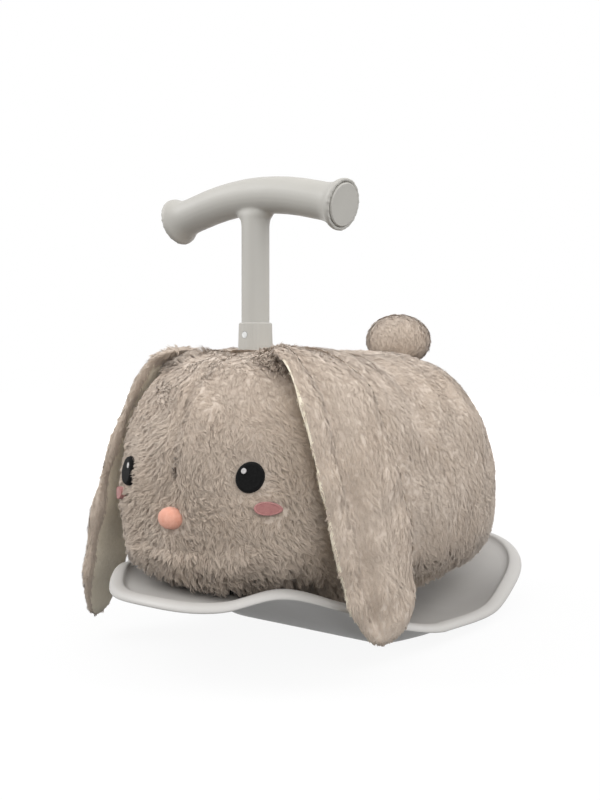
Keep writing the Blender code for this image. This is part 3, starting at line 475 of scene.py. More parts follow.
def steel_material(name):
    made, tree, shader = new_material(name, Roughness=0.28, Metallic=1.0)
    cloud = noise(tree, scale=220.0, detail=5.0)
    tone = ramp(tree, cloud, (0.50, 0.50, 0.49), (0.72, 0.72, 0.71))
    add_finish(tree, shader, tone, cloud, distance=0.00008, strength=0.4)
    return made


def wood_material(name):
    made, tree, shader = new_material(name, Roughness=0.7)
    where = add_node(tree, "TexCoord").outputs["Object"]
    grain = add_node(tree, "TexWave", Scale=26.0, Distortion=6.0, Detail=4.0)
    tree.links.new(where, grain.inputs["Vector"])
    lines = grain.outputs["Fac"]
    tone = ramp(tree, lines, (0.40, 0.27, 0.15), (0.62, 0.46, 0.29), (0.1, 0.9))
    add_finish(tree, shader, tone, lines, distance=0.0002, strength=0.4)
    return made


def make_finishes():
    """Every finish of the toy by its name."""
    made = {"zinc_steel_finish": steel_material("zinc_steel_finish")}
    made["plywood_finish"] = wood_material("plywood_finish")
    for maker, looks in ((plastic_material, PLASTICS), (fur_material, PILES), (cloth_material, CLOTHS)):
        for name, look in looks.items():
            made[name] = maker(name, *look)
    return made


# Pile


def grid_area(points, faces):
    a, b, c, d = (points[faces[:, k]] for k in range(4))
    return (np.linalg.norm(np.cross(c - a, d - b), axis=1) / 2).sum()


def scatter(points, normals, faces, density, *fields):
    """Places spread evenly over quads by area, with the normals there and any further fields."""
    count = int(grid_area(points, faces) * density * (1.0))
    tris = faces[:, [[0, 1, 2], [0, 2, 3]]].reshape(-1, 3)
    a, b, c = (points[tris[:, k]] for k in range(3))
    area = np.cumsum(np.linalg.norm(np.cross(b - a, c - a), axis=1))
    steps = (np.arange(count) + RNG.random(count)) / count * area[-1]
    corner = tris[np.minimum(np.searchsorted(area, steps), len(tris) - 1)]
    u, v = RNG.random((2, count))
    over = u + v > 1
    u, v = np.where(over, 1 - u, u), np.where(over, 1 - v, v)
    share = np.stack([1 - u - v, u, v], axis=1)[:, :, None]
    found = [(points[corner] * share).sum(1), unit((normals[corner] * share).sum(1))]
    return found + [(field[corner] * share).sum(1) for field in fields]


def stray(size, count):
    return RNG.normal(0.0, size, count)[:, None]


def lay_tufts(roots, normals, comb, length, lean, rough):
    """Each tuft's comb, side, length, lean and the place where its ribbons draw together."""
    count = len(roots)
    comb = unit(comb - normals * np.sum(comb * normals, axis=1, keepdims=True))
    side = np.cross(normals, comb)
    swing = stray(TUFT_SWING, count) * rough
    comb = unit(comb * np.cos(swing) + side * np.sin(swing))
    side = np.cross(normals, comb)
    long = (length * RNG.uniform(*TUFT_LENGTHS, count))[:, None]
    tilt = np.broadcast_to(lean, count)[:, None] + stray(TUFT_TILT, count) * rough
    tip = roots + long * (normals * np.cos(tilt) + comb * np.sin(tilt))
    return comb, side, long, tilt, tip


def blades(roots, normals, comb, length, lean, spread, width, per_tuft, rough):
    """Ribbons that start spread out and draw together at their tuft's tip: the five points, the shading
    normal, the shade and the brushed share of each."""
    count, n = len(roots), len(roots) * per_tuft
    rough = np.broadcast_to(rough, count)[:, None]
    laid = lay_tufts(roots, normals, comb, length, lean, rough)

    def each(values):
        return np.repeat(values, per_tuft, axis=0)

    r, up, comb, side, long, tilt, tuft_tip, rough = (each(v) for v in (roots, normals, *laid, rough))
    angle = RNG.uniform(0, 2 * math.pi, n)[:, None]
    out = (spread * np.sqrt(RNG.random(n)))[:, None]
    root = r + (comb * np.cos(angle) + side * np.sin(angle)) * out - up * BLADE_SINK
    own = long * RNG.uniform(*BLADE_LENGTHS, n)[:, None]
    turn = tilt + stray(BLADE_TURN, n) * rough
    clump = CLUMP_SHARE + CLUMP_ROUGH_SHARE * rough
    tip = (root + own * (up * np.cos(turn) + comb * np.sin(turn))) * (1 - clump) + tuft_tip * clump
    tip += side * stray(BLADE_TIP_STRAY, n)
    run = tip - root
    rise = np.sum(run * up, axis=1, keepdims=True)
    middle = root + (run - up * rise) * BLADE_MIDDLE_RUN + up * rise * BLADE_MIDDLE_RISE
    middle += side * stray(BLADE_MIDDLE_STRAY, n)
    flat = unit(unit(np.cross(run, up)) + up * stray(BLADE_TWIST, n))
    wide = flat * (width * RNG.uniform(*BLADE_WIDTHS, n))[:, None] / 2
    narrow = wide * BLADE_MIDDLE_WIDTH
    points = np.stack([root - wide, root + wide, middle + narrow, middle - narrow, tip], axis=1)
    shading = unit(up - comb * SHADING_LEAN + flat * stray(SHADING_STRAY, n) * rough)
    shade = each(RNG.random(count)) * SHADE_BY_TUFT + RNG.random(n) * SHADE_BY_BLADE
    return points, shading, 0.5 + (shade - 0.5) * rough[:, 0], 1 - rough[:, 0]


def ribbon_mesh(name, points, shading, shade, brushed):
    count, size = points.shape[:2]
    mesh = bpy.data.meshes.new(name)
    mesh.vertices.add(count * size)
    mesh.vertices.foreach_set("co", points.reshape(-1).astype(np.float32))
    ribbon = np.arange(count, dtype=np.int32)[:, None]
    corners = (ribbon * size + np.array(RIBBON_CORNERS, dtype=np.int32)).reshape(-1)
    mesh.loops.add(len(corners))
    mesh.loops.foreach_set("vertex_index", corners)
    starts = (ribbon * len(RIBBON_CORNERS) + np.array(RIBBON_STARTS, dtype=np.int32)).reshape(-1)
    mesh.polygons.add(len(starts))
    mesh.polygons.foreach_set("loop_start", starts)
    mesh.update(calc_edges=True)
    mesh.validate()
    along = np.array(RIBBON_ALONG)[None, :]
    pile = (along + (1 - along) * brushed[:, None]).reshape(-1)
    for label, values in (("pile", pile), ("tuft", np.repeat(shade, size))):
        layer = mesh.attributes.new(label, "FLOAT", "POINT")
        layer.data.foreach_set("value", values.astype(np.float32))
    mesh.shade_smooth()
    mesh.normals_split_custom_set_from_vertices(np.repeat(shading, size, axis=0).tolist())
    return mesh


def on_body(piece):
    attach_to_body(piece, "root")


def on_ear():
    """Bakes each ear piece's transform into its mesh."""

    def attach(piece):
        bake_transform(piece)

    return attach


def fur_pieces(name, made, material, attach):
    """Pile in pieces of a bounded number of ribbons."""
    parts = math.ceil(len(made[0]) / MOST_BLADES)
    for i, index in enumerate(np.array_split(np.arange(len(made[0])), parts)):
        label = f"{name}_{i + 1}" if parts > 1 else name
        mesh = ribbon_mesh(label, *(values[index] for values in made))
        piece = linked(label, mesh, material)
        attach(piece)


# The body


def body_normals(grid):
    """Outward normals, straight along the body where its rows draw together at the two poles."""
    normals = grid_normals(grid)
    normals[:POLE_ROWS] = (0.0, -1.0, 0.0)
    normals[-POLE_ROWS:] = (0.0, 1.0, 0.0)
    return normals


def body_grid():
    """The stuffed skin a little inside the solid's surface, without its folds."""
    at = np.linspace(0, len(BODY_STATIONS) - 1, SKIN_ROWS)
    along, width, drop, rise = (column[:, None] for column in spline(BODY_STATIONS, at).T)
    height = BODY_TOP - BODY_BOTTOM
    top = BODY_TOP - drop * height
    bottom = BODY_BOTTOM + rise * height
    angle = loop_angles(SKIN_COLUMNS)[None, :]
    across, up = rounded(angle, BODY_ROUNDNESS)
    x = BODY_HALF_WIDTH * np.maximum(width, 0.0) * across
    z = np.maximum((top - bottom) / 2, 0.0) * up
    sag = -BODY_SAG_SHARE * z / (height / 2)
    length = BODY_REAR_Y - BODY_FRONT_Y
    y = BODY_FRONT_Y + along * length + sag * (along - 0.5) * length
    grid = np.stack([x * (1 + sag), y, (top + bottom) / 2 + z], axis=-1)
    normals = body_normals(grid)
    lumps = ripple(grid.reshape(-1, 3), *BODY_LUMPS)
    rear = fade_in(grid[..., 1], *REAR_FADE)
    under = fade_out(normals[..., 2], *UNDER_FACING) * fade_out(grid[..., 1], *UNDER_FADE)
    brushed = fade_in(normals[..., 1], *BRUSHED_FACING) * (1 - rear)
    depth = lumps.reshape(grid.shape[:2]) - SKIN_INSET + SKIN_BRUSHED_RISE * brushed
    depth += (SKIN_INSET + SKIN_UNDER_RISE) * under - (SKIN_INSET_REAR - SKIN_INSET) * rear
    return grid + normals * depth[..., None]


def stem_distance(p):
    return np.hypot(p[:, 0], p[:, 1] - STEM_Y)


def body_folds(p):
    """How far the stuffed skin stands out or is drawn in at each place: seams, tucks and soft lumps."""
    x, y, z = p.T
    depth = ripple(p, *WRINKLES)
    face = fade_out(y, *FOREHEAD_FADE) * fade_in(z, NOSE_HEIGHT + NOSE_HALF_HEIGHT, SEAM_TOP_RUN)
    depth -= SEAM_DEPTH * face * bell(x, 0.0, SEAM_WIDTH)
    for side, _ in SIDES:
        depth += SEAM_LIP_HEIGHT * face * bell(x, side * SEAM_LIP_X, SEAM_LIP_WIDTH)
    depth -= TUCK_DEPTH * bell(stem_distance(p), TUCK_RADIUS, TUCK_WIDTH) * (z > CROWN_HEIGHT)
    return depth


def make_skin(material):
    grid = body_grid()
    folds = body_folds(grid.reshape(-1, 3)).reshape(grid.shape[:2])
    grid = grid + body_normals(grid) * folds[..., None]
    skin = linked("body_skin", grid_mesh("body_skin", grid), material)
    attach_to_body(skin, "root")
    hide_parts("plush_body")
    return skin, grid


def face_pads():
    """Middle and half sizes of each felt pad on the face, seen from the front."""
    pads = {"nose": ((NOSE_X, NOSE_HEIGHT), NOSE_HALF_WIDTH, NOSE_HALF_HEIGHT)}
    for side, label in SIDES:
        eye = (side * EYE_X + FACE_SHIFT, EYE_HEIGHT + side * EYE_TILT)
        cheek = (side * CHEEK_X + FACE_SHIFT, CHEEK_HEIGHT)
        pads[label + "_eye"] = (eye, EYE_HALF_WIDTH, EYE_HALF_HEIGHT)
        pads[label + "_cheek"] = (cheek, CHEEK_HALF_WIDTH, CHEEK_HALF_HEIGHT)
    return pads


def pad_nearness(p):
    """1 in the middle of a felt pad falling to 0 at its rim and below beyond it, seen from the front."""
    near = np.full(len(p), PAD_FAR)
    for (x, z), half_x, half_z in face_pads().values():
        near = np.maximum(near, 1 - np.hypot((p[:, 0] - x) / half_x, (p[:, 2] - z) / half_z))
    return np.where(p[:, 1] < PAD_REAR_Y, near, PAD_FAR)


def gather_share(p):
    """1 on the rim of the drawn-together seam beside the tail, less inside it."""
    s, c = math.sin(GATHER_TURN), math.cos(GATHER_TURN)
    x, y = p[:, 0] - GATHER_X, p[:, 1] - GATHER_Y
    return np.hypot((x * c + y * s) / GATHER_HALF_LENGTH, (y * c - x * s) / GATHER_HALF_WIDTH)


def bare(p):
    """True where a felt pad, the collar or the gathered seam covers the skin."""
    gather = (gather_share(p) <= 1) & (p[:, 2] >= UPPER_HALF)
    return (stem_distance(p) <= STEM_CLEARANCE) | (pad_nearness(p) >= PAD_COVER) | gather


def body_comb(p, facing):
    """The way the pile lies: off the crown, out from the seam and nose, and down the sides."""
    x, y, z = p.T
    none = np.zeros_like(x)
    face = fade_out(facing[:, 1], *FACE_FACING)[:, None]
    top = fade_in(facing[:, 2], *TOP_FACING)[:, None]
    out = unit(np.stack([x, none, z - NOSE_HEIGHT], axis=1)) * np.array(COMB_NOSE_STRETCH)
    parting = fade_in(y - STEM_Y, *PARTING_FADE) * 2 - 1
    across = np.clip(x / CROWN_SPREAD, -1, 1) * COMB_CROWN_OUT
    crown = np.stack([across, COMB_CROWN_BACK * parting, none], axis=1)
    way = face * (out * COMB_NOSE_OUT + np.array(COMB_FACE_DOWN))
    way = way + (1 - face) * (crown * top + np.array(COMB_SIDE) * (1 - top))
    way[:, 2] -= COMB_BROW_DOWN * (face * top)[:, 0]
    return way + wander(p, *BODY_WANDER)


def pile_regions(p, facing):
    """Shares of the face, the belly, the collar's rim and the ears' roots at each place."""
    face = fade_out(facing[:, 1], *FACE_FACING)
    belly = fade_out(facing[:, 2], *BELLY_FACING)
    cheeks = fade_out(facing[:, 1], *CHEEK_FACING) * fade_out(p[:, 1], *CHEEK_FADE)
    face = np.maximum(face, cheeks * fade_out(facing[:, 2], *CHEEK_TOP_FACING))
    face *= 1 - BROW_SHARE * fade_in(p[:, 2], *BROW_FADE)
    collar = fade_out(stem_distance(p), *COLLAR_FADE) * (p[:, 2] > UPPER_HALF)
    hinge = np.hypot(np.abs(p[:, 0]) - EAR_HINGE_X, p[:, 1] - EAR_HINGE_Y)
    ear_root = fade_out(hinge, *EAR_ROOT_FADE) * (p[:, 2] > CROWN_HEIGHT)
    return face, belly, collar, ear_root


def body_tufts(grid):
    """Roots of the body's tufts and the normals there, sorted from front to rear."""
    points, normals = grid.reshape(-1, 3), body_normals(grid).reshape(-1, 3)
    roots, facing = scatter(points, normals, grid_faces(*grid.shape[:2]), BODY_TUFTS)
    hidden = (facing[:, 2] < HIDDEN_FACING) & (RNG.random(len(roots)) < HIDDEN_SHARE)
    keep = ~bare(roots) & ~hidden
    roots, facing = roots[keep], facing[keep]
    order = np.argsort(roots[:, 1], kind="stable")
    return roots[order], facing[order]


def make_body_fur(grid, material):
    roots, facing = body_tufts(grid)
    regions = pile_regions(roots, facing)
    face, belly, _, ear_root = regions
    long, lean, spread, width, per_tuft, rough = BODY_PILE
    long = long + ripple(roots, *BODY_PILE_WAVE)
    for region, (longer, _) in zip(regions, (FACE_PILE, BELLY_PILE, COLLAR_PILE)):
        long += longer * region
    clip = smooth_step(-pad_nearness(roots) / PAD_CLIP_RUN)
    long *= PAD_CLIP_SHARE + (1 - PAD_CLIP_SHARE) * clip
    long += EAR_ROOT_PILE[0] * ear_root
    for region, (_, upright) in zip(regions, (FACE_PILE, BELLY_PILE, COLLAR_PILE, EAR_ROOT_PILE)):
        lean = lean - upright * region
    rough = rough + SHAGGY_ROUGHNESS * np.maximum(face, SHAGGY_BELLY_SHARE * belly)
    comb = body_comb(roots, facing)
    made = blades(roots, facing, comb, long, lean, spread, width, per_tuft, rough)
    x, y, z = np.moveaxis(made[0], -1, 0)
    np.maximum(z, tray_top(x, y) + PILE_ABOVE_TRAY, out=z)
    fur_pieces("body_pile", made, material, on_body)


# Ears


def ear_frame(side):
    """The middle line of an ear with its own directions along, across and outward."""
    hinge = np.array([side * EAR_HINGE_X, EAR_HINGE_Y, BODY_TOP - EAR_HINGE_DROP])
    route = hinge + np.array(EAR_ROUTES[side]) * np.array([side, 1, 1])
    line = spline(route, np.linspace(0, len(route) - 1, EAR_ROWS))
    tangent = unit(np.gradient(line, axis=0))
    turn = EAR_TURN * smooth_step(np.linspace(0, 1, EAR_ROWS) / EAR_TURN_SHARE)
    across = np.stack([side * np.sin(turn), np.cos(turn), np.zeros_like(turn)], axis=1)
    across = unit(across - tangent * np.sum(across * tangent, axis=1, keepdims=True))
    outward = unit(np.cross(tangent, across)) * side
    return line, tangent, across, outward


def ear_grid(side):
    """The ear's skin: a flat rounded section, hollow toward the body, with one long fold outside."""
    line, tangent, across, outward = ear_frame(side)
    share = np.linspace(0, 1, EAR_ROWS)
    thin = EAR_INSET * EAR_THIN_SHARE
    width = EAR_HALF_WIDTH * np.interp(share, EAR_ALONG_SHARES, EAR_WIDTH_SHARES) - EAR_INSET
    thick = EAR_HALF_THICKNESS * np.interp(share, EAR_ALONG_SHARES, EAR_THICKNESS_SHARES) - thin
    root = np.sqrt(1 - (1 - np.minimum(share / EAR_ROOT_SHARE, 1.0)) ** 2)
    width, thick = width * (EAR_ROOT_START + (1 - EAR_ROOT_START) * root), thick[:, None]
    angle = loop_angles(EAR_COLUMNS)
    x, y = rounded(angle[None, :], EAR_ROUNDNESS)
    x, y = width[:, None] * x, thick * y
    hollow = np.where(np.sin(angle) < 0, EAR_HOLLOW, 0.0) * (1 - np.cos(angle) ** 2)
    y += thick * hollow[None, :]
    place = -EAR_FOLD_AT - EAR_FOLD_DRIFT * share
    fold = EAR_FOLD_DEPTH * bell(np.cos(angle)[None, :], place[:, None], EAR_FOLD_WIDTH)
    ends = fade_in(share, *EAR_FOLD_ROOT) * fade_out(share, *EAR_FOLD_TIP)
    y -= fold * (np.sin(angle) > 0)[None, :] * ends[:, None]
    grid = line[:, None] + across[:, None] * x[..., None] + outward[:, None] * y[..., None]
    lumps = ripple(grid.reshape(-1, 3), *EAR_LUMPS[side])
    return grid + grid_normals(grid) * lumps.reshape(grid.shape[:2])[..., None], angle, tangent


def make_ear(side, backing, fur, lining, lining_fur):
    """Fur outside, and toward the body a short cream lining that shows along the front edge."""
    name = "left_ear" if side > 0 else "right_ear"
    grid, angle, tangent = ear_grid(side)
    first, last = np.radians(EAR_LINING[side])
    inside = (angle > first) & (angle < last)
    inside = inside[None, :] & (np.linspace(0, 1, EAR_ROWS - 1) > EAR_LINING_START)[:, None]
    mesh = grid_mesh(name + "_skin", grid, second=inside)
    skin = linked(name + "_skin", mesh, backing)
    mesh.materials.append(lining)
    on_ear()(skin)
    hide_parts(name)
    points, normals = grid.reshape(-1, 3), grid_normals(grid).reshape(-1, 3)
    ways = np.repeat(tangent, EAR_COLUMNS, axis=0)
    shares = np.repeat(np.linspace(0, 1, EAR_ROWS), EAR_COLUMNS)[:, None]
    faces, inside = grid_faces(EAR_ROWS, EAR_COLUMNS), inside.reshape(-1)
    for label, mine, density, finish, (length, *shape) in (
        ("_pile", ~inside, EAR_TUFTS, fur, EAR_PILE),
        ("_lining_pile", inside, LINING_TUFTS, lining_fur, LINING_PILE),
    ):
        roots, facing, way, along = scatter(points, normals, faces[mine], density, ways, shares)
        comb = way + wander(roots, *EAR_WANDER)
        long = length * (1 - EAR_TIP_SHORTENING * fade_in(along[:, 0], *EAR_TIP_FADE))
        fur_pieces(name + label, blades(roots, facing, comb, long, *shape), finish, on_ear())


# Tail


def make_tail(backing, material):
    polar = np.linspace(TAIL_POLE, math.pi - TAIL_POLE, TAIL_ROWS)[:, None]
    angle = loop_angles(TAIL_COLUMNS)[None, :]
    radius = (TAIL_RADIUS - TAIL_INSET) * np.sin(polar)
    height = TAIL_HEIGHT + (TAIL_HALF_HEIGHT - TAIL_INSET) * np.cos(polar) + 0 * angle
    grid = np.stack([radius * np.cos(angle), TAIL_Y + radius * np.sin(angle), height], axis=-1)
    skin = linked("tail_skin", grid_mesh("tail_skin", grid), backing)
    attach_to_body(skin, "root")
    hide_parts("tail_pompom")
    points, normals = grid.reshape(-1, 3), grid_normals(grid).reshape(-1, 3)
    roots, facing = scatter(points, normals, grid_faces(TAIL_ROWS, TAIL_COLUMNS), TAIL_TUFTS)
    keep = roots[:, 2] > TAIL_PILE_BOTTOM
    roots, facing = roots[keep], facing[keep]
    comb = wander(roots, *TAIL_WANDER) + np.array(TAIL_COMB)
    fur_pieces("tail_pile", blades(roots, facing, comb, *TAIL_PILE), material, on_body)


def make_gather(tree, material):
    """The puckered backing where the cover is drawn together beside the tail. Its dark grey is partly
    painted shade for the shadow the tail casts at its base.
    """
    s, c = math.sin(GATHER_TURN), math.cos(GATHER_TURN)
    grid = np.zeros((GATHER_ROWS, GATHER_COLUMNS, 3))
    for i, share in enumerate(np.linspace(*GATHER_SHARES, GATHER_ROWS)):
        for k, angle in enumerate(loop_angles(GATHER_COLUMNS)):
            u = GATHER_HALF_LENGTH * share * math.cos(angle)
            v = GATHER_HALF_WIDTH * share * math.sin(angle)
            place = Vector((GATHER_X + u * c - v * s, GATHER_Y + u * s + v * c, RAY_TOP))
            hit, normal, _, _ = tree.ray_cast(place, Vector((0, 0, -1)))
            wave = math.sin(u * PUCKER_ALONG) * math.cos(v * PUCKER_ACROSS + u * PUCKER_SLANT)
            lift = GATHER_LIFT + PUCKER_HEIGHT * wave if share < 1 else -GATHER_SINK
            grid[i, k] = hit + normal * lift
    gather = linked("tail_gather_painted_shade", grid_mesh("tail_gather_painted_shade", grid), material)
    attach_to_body(gather, "root")


# Face pads


def front_point(tree, place, half_x, half_z, angle):
    """The skin's point and normal on the outline of an ellipse seen from the front."""
    x, z = place[0] + half_x * math.cos(angle), place[1] + half_z * math.sin(angle)
    hit, normal, _, _ = tree.ray_cast(Vector((x, RAY_FRONT_Y, z)), Vector((0, 1, 0)))
    return hit, normal


def pad_grid(tree, place, half_x, half_z, lift, dome):
    """Points of a pad's top over the skin, its sunken rim first, its middle last."""
    rings = [(1.0, -PAD_SINK)]
    for i in range(PAD_RINGS):
        share = 1.0 - i / PAD_RINGS
        edge = math.sqrt(min((1 - share) / PAD_EDGE_SHARE, 1.0))
        swell = dome * math.sqrt(1 - share**2)
        rings.append((share, lift * (PAD_EDGE_HEIGHT + PAD_EDGE_RISE * edge) + swell))
    grid = np.zeros((len(rings), PAD_COLUMNS, 3))
    for i, (share, height) in enumerate(rings):
        for k, angle in enumerate(loop_angles(PAD_COLUMNS)):
            hit, normal = front_point(tree, place, half_x * share, half_z * share, angle)
            grid[i, k] = hit + normal * height
    return grid


def make_pad(name, tree, outline, lift, dome, material, replaces):
    pad = linked(name, grid_mesh(name, pad_grid(tree, *outline, lift, dome)), material)
    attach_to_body(pad, "root")
    if replaces:
        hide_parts(replaces)


def stitch_ring(name, tree, outline, lift, material):
    """A ring of short satin stitches laid across a pad's edge."""
    place, half_x, half_z = outline
    half_x, half_z = half_x - STITCH_INSET, half_z - STITCH_INSET
    whole = bmesh.new()
    for angle in loop_angles(STITCHES):
        ends = []
        for share in (1.0 - STITCH_REACH, 1.0, 1.0 + STITCH_REACH):
            hit, normal = front_point(tree, place, half_x * share, half_z * share, angle)
            rise = STITCH_CROWN if share == 1.0 else -STITCH_END_SINK
            ends.append((hit + normal * (lift + STITCH_RADIUS * rise), normal))
        loops = []
        for i, (p, normal) in enumerate(ends):
            way = (ends[min(i + 1, 2)][0] - ends[max(i - 1, 0)][0]).normalized()
            side = way.cross(normal).normalized()
            rim = [side * math.cos(t) + normal * math.sin(t) for t in loop_angles(STITCH_SIDES)]
            loops.append([whole.verts.new(p + spoke * STITCH_RADIUS) for spoke in rim])
        for one, other in zip(loops, loops[1:]):
            for j in range(STITCH_SIDES):
                k = (j + 1) % STITCH_SIDES
                whole.faces.new((one[j], one[k], other[k], other[j]))
        whole.faces.new(loops[0])
        whole.faces.new(loops[-1])
    bmesh.ops.recalc_face_normals(whole, faces=whole.faces)
    mesh = bpy.data.meshes.new(name)
    whole.to_mesh(mesh)
    whole.free()
    ring = linked(name, mesh, material)
    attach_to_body(ring, "root")


def make_face(tree, finishes):
    black, grey = finishes["eye_felt"], finishes["eye_glint_thread"]
    pink, thread = finishes["cheek_felt"], finishes["cheek_thread"]
    pads = face_pads()
    for side, label in SIDES:
        eye, cheek = label + "_eye", label + "_cheek"
        x, z = pads[eye][0]
        glint = ((x - side * GLINT_IN, z + GLINT_UP), GLINT_HALF_WIDTH, GLINT_HALF_HEIGHT)
        make_pad(eye + "_pad", tree, pads[eye], EYE_LIFT, 0.0, black, eye)
        make_pad(eye + "_glint", tree, glint, GLINT_LIFT, 0.0, grey, None)
        make_pad(cheek + "_pad", tree, pads[cheek], CHEEK_LIFT, 0.0, pink, cheek)
        stitch_ring(cheek + "_stitches", tree, pads[cheek], CHEEK_LIFT, thread)
    coral = finishes["nose_felt"]
    make_pad("nose_pad", tree, pads["nose"], NOSE_LIFT, NOSE_DOME, coral, "nose")


# The tray


def sole_height(y):
    front = (SOLE_FRONT_Y - y) / (SOLE_FRONT_Y + TRAY_HALF_LENGTH) / SOLE_RUN_FRONT_SHARE
    rear = (y - SOLE_REAR_Y) / (TRAY_HALF_LENGTH - SOLE_REAR_Y) / SOLE_RUN_REAR_SHARE
    return SOLE_RISE_FRONT * smooth_step(front) + SOLE_RISE_REAR * smooth_step(rear)


def rim_height(angle):
    """The top of the rim at a bearing round the tray, on a smooth curve through its heights."""
    bearing = np.degrees(np.arcsin(np.sin(angle)))
    places, heights = (np.array(values) for values in zip(*RIM_PROFILE))
    slopes = np.gradient(heights, places)
    slopes[0] = slopes[-1] = 0.0
    i = np.clip(np.searchsorted(places, bearing, side="right") - 1, 0, len(places) - 2)
    gap = places[i + 1] - places[i]
    t = (bearing - places[i]) / gap
    bend = gap * (slopes[i] * t * (1 - t) ** 2 - slopes[i + 1] * t**2 * (1 - t))
    return heights[i] + (heights[i + 1] - heights[i]) * smooth_step(t) + bend


def hull_height(y, angle, share):
    """The height of the tray's underside at a share of the way out to its rim."""
    rise = np.maximum(share - SOLE_SHARE, 0.0) / (1 - SOLE_SHARE)
    sole = sole_height(y)
    return sole + (rim_height(angle) - TRAY_LIP_DROP - sole) * rise**HULL_CURVE


def tray_top(x, y):
    """The height of the tray's inner side, or far below where there is no tray."""
    power = np.where(y < 0, TRAY_ROUNDNESS_FRONT, TRAY_ROUNDNESS_REAR)
    across, along = np.abs(x / TRAY_HALF_WIDTH), np.abs(y / TRAY_HALF_LENGTH)
    share = (across**power + along**power) ** (1 / power)
    angle = np.arctan2(y / TRAY_HALF_LENGTH, x / TRAY_HALF_WIDTH)
    return np.where(share < TRAY_REACH_SHARE, hull_height(y, angle, share) + TRAY_WALL, -1.0)


def tray_plan(angle, share, out=0.0):
    """x and y round the tray at a share of the way to its rim, moved out by a distance."""
    power = np.where(np.sin(angle) < 0, TRAY_ROUNDNESS_FRONT, TRAY_ROUNDNESS_REAR)
    x, y = rounded(angle, power)
    x, y = (TRAY_HALF_WIDTH * share + out) * x, (TRAY_HALF_LENGTH * share + out) * y
    return x, y + (SOLE_FRONT_Y + SOLE_REAR_Y) / 2 * max(1 - share / SOLE_SHARE, 0.0)


def make_tray(material):
    angle = 2 * math.pi * (np.arange(TRAY_SEGMENTS) + 0.5) / TRAY_SEGMENTS

    def hull_row(share, lift):
        x, y = tray_plan(angle, share)
        return np.stack([x, y, hull_height(y, angle, share) + lift], axis=-1)

    def lip_row(out, drop):
        return np.stack([*tray_plan(angle, 1.0, out), rim_height(angle) - drop], axis=-1)

    rows = [hull_row(share, TRAY_WALL) for share in np.linspace(*TRAY_OVER)]
    rows += [lip_row(out, drop) for out, drop in LIP_PROFILE]
    rows += [hull_row(share, 0.0) for share in np.linspace(*TRAY_UNDER)]
    tray = linked("tray_shell", grid_mesh("tray_shell", np.array(rows)), material)
    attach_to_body(tray, "root")
    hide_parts("rocker_tray")


# The handle and the plain solids


def make_handle(material):
    """The moulded T, its joins melted together, over the same solid."""
    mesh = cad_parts["handlebar"].data.copy()
    mesh.materials.clear()
    handle = linked("handle_moulding", mesh, material)
    remesh = handle.modifiers.new("melt", "REMESH")
    remesh.mode = "VOXEL"
    remesh.voxel_size = HANDLE_VOXEL
    remesh.use_smooth_shade = True
    smooth = handle.modifiers.new("soften", "SMOOTH")
    smooth.factor = HANDLE_SMOOTHING
    smooth.iterations = HANDLE_SMOOTHINGS
    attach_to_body(handle, "root")
    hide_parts("handlebar")


def dress_nodes(finishes):
    """Finishes for the solids that keep their own shape."""
    for name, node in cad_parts.items():
        if name in ("left_grip_cap", "right_grip_cap", "stem_collar"):
            finish = "handle_plastic_finish"
        elif name.startswith(("base_", "frame_screw", "stem_tube", "tube_flange", "collar_screw")):
            finish = "zinc_steel_finish"
        elif name.endswith("board"):
            finish = "plywood_finish"
        elif name == "seat_foam":
            finish = "foam_finish"
        else:
            continue
        for slot in node.material_slots:
            slot.link = "OBJECT"
            slot.material = finishes[finish]


# Stage, camera and light


def make_camera():
    lens = bpy.data.cameras.new("camera")
    lens.sensor_fit = "VERTICAL"
    lens.sensor_height = CAMERA_SENSOR
    lens.sensor_width = CAMERA_SENSOR
    lens.lens = CAMERA_LENS
    lens.shift_y = CAMERA_SHIFT
    camera = add_object("camera", lens)
    s, c = math.sin(CAMERA_AZIMUTH), math.cos(CAMERA_AZIMUTH)
    camera.location = (
        CAMERA_DISTANCE * s + CAMERA_OFFSET * c,
        STEM_Y - CAMERA_DISTANCE * c + CAMERA_OFFSET * s,
        CAMERA_HEIGHT,
    )
    camera.rotation_euler = (math.pi / 2, 0.0, CAMERA_AZIMUTH)
    bpy.context.scene.camera = camera


def area_light(name, place, target, size, power):
    lamp = bpy.data.lights.new(name, "AREA")
    lamp.shape = "DISK"
    lamp.size = size
    lamp.energy = power
    made = add_object(name, lamp)
    made.location = place
    made.rotation_euler = (Vector(target) - Vector(place)).to_track_quat("-Z", "Y").to_euler()


def math_node(tree, operation, one, other):
    node = add_node(tree, "Math")
    node.operation = operation
    tree.links.new(one, node.inputs[0])
    tree.links.new(other, node.inputs[1])
    return node.outputs[0]


def mix_shaders(tree, share, one, other, surface):
    mix = add_node(tree, "MixShader")
    for source, socket in zip((share, one.outputs[0], other.outputs[0]), mix.inputs):
        tree.links.new(source, socket)
    tree.links.new(mix.outputs[0], surface)


def seen_directly(tree):
    """1 where a camera, glossy or transmission ray looks straight at the backdrop."""
    rays = add_node(tree, "LightPath").outputs
    either = math_node(tree, "MAXIMUM", rays["Is Camera Ray"], rays["Is Glossy Ray"])
    return math_node(tree, "MAXIMUM", either, rays["Is Transmission Ray"])


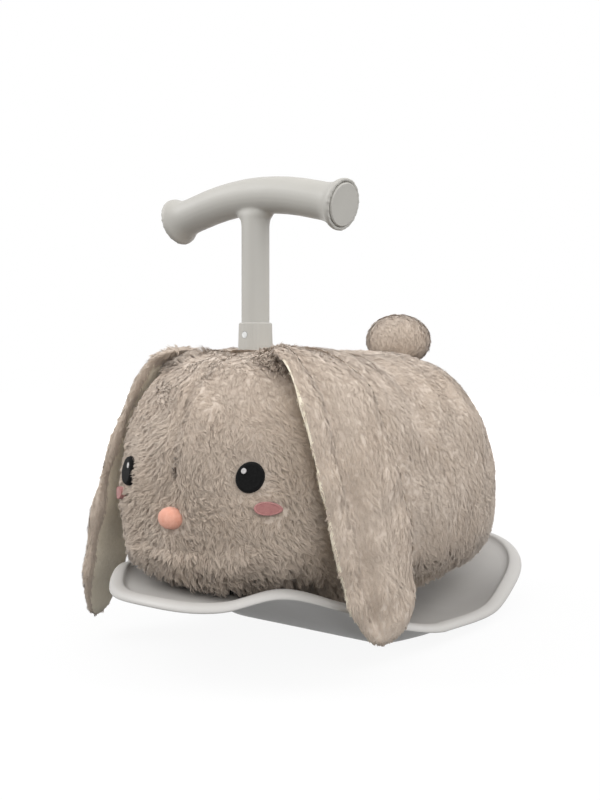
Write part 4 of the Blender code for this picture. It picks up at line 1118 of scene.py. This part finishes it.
def paper_material():
    """Grey paper that takes the shadow, and glows white to the eye, more so far out."""
    made, tree, shader = new_material(
        "floor_paper", Base_Color=FLOOR_COLOUR, Roughness=0.9, Specular_IOR_Level=0.0
    )
    glow = add_node(tree, "Emission", Color=WHITE, Strength=FLOOR_GLOW)
    far = add_node(tree, "VectorMath")
    far.operation = "LENGTH"
    tree.links.new(add_node(tree, "TexCoord").outputs["Object"], far.inputs[0])
    fade = add_node(tree, "MapRange", From_Min=FLOOR_GLOW_NEAR, From_Max=FLOOR_GLOW_FAR)
    fade.interpolation_type = "SMOOTHSTEP"
    set_inputs(fade, To_Min=FLOOR_GLOW_SHARE, To_Max=1.0)
    tree.links.new(far.outputs["Value"], fade.inputs["Value"])
    share = math_node(tree, "MULTIPLY", seen_directly(tree), fade.outputs["Result"])
    mix_shaders(tree, share, shader, glow, tree.nodes["Material Output"].inputs["Surface"])
    return made


def make_floor():
    mesh = bpy.data.meshes.new("floor")
    r = FLOOR_HALF_SIZE
    mesh.from_pydata([(-r, -r, 0), (r, -r, 0), (r, r, 0), (-r, r, 0)], [], [(0, 1, 2, 3)])
    floor = linked("floor", mesh, paper_material(), smooth=False)


def make_world():
    """Soft light from all round, with a pure white backdrop to the eye."""
    world = bpy.data.worlds.new("studio")
    bpy.context.scene.world = world
    world.use_nodes = True
    tree = world.node_tree
    back, white = tree.nodes["Background"], add_node(tree, "Background", Color=WHITE, Strength=1.0)
    set_inputs(back, Color=WHITE, Strength=WORLD_LIGHT)
    surface = tree.nodes["World Output"].inputs["Surface"]
    mix_shaders(tree, seen_directly(tree), back, white, surface)


def main():
    bpy.context.scene.view_settings.view_transform = "Standard"
    make_camera()
    make_floor()
    make_world()
    for lamp in LAMPS:
        area_light(*lamp)
    finishes = make_finishes()
    dress_nodes(finishes)
    backing, fur = finishes["plush_backing"], finishes["plush_pile"]
    skin, grid = make_skin(backing)
    make_body_fur(grid, fur)
    for side, _ in SIDES:
        make_ear(side, backing, fur, finishes["ear_lining"], finishes["ear_lining_pile"])
    make_tail(backing, fur)
    tree = surface_tree(skin)
    make_gather(tree, finishes["gathered_backing_painted_shade"])
    make_face(tree, finishes)
    make_tray(finishes["tray_plastic_finish"])
    make_handle(finishes["handle_plastic_finish"])


main()
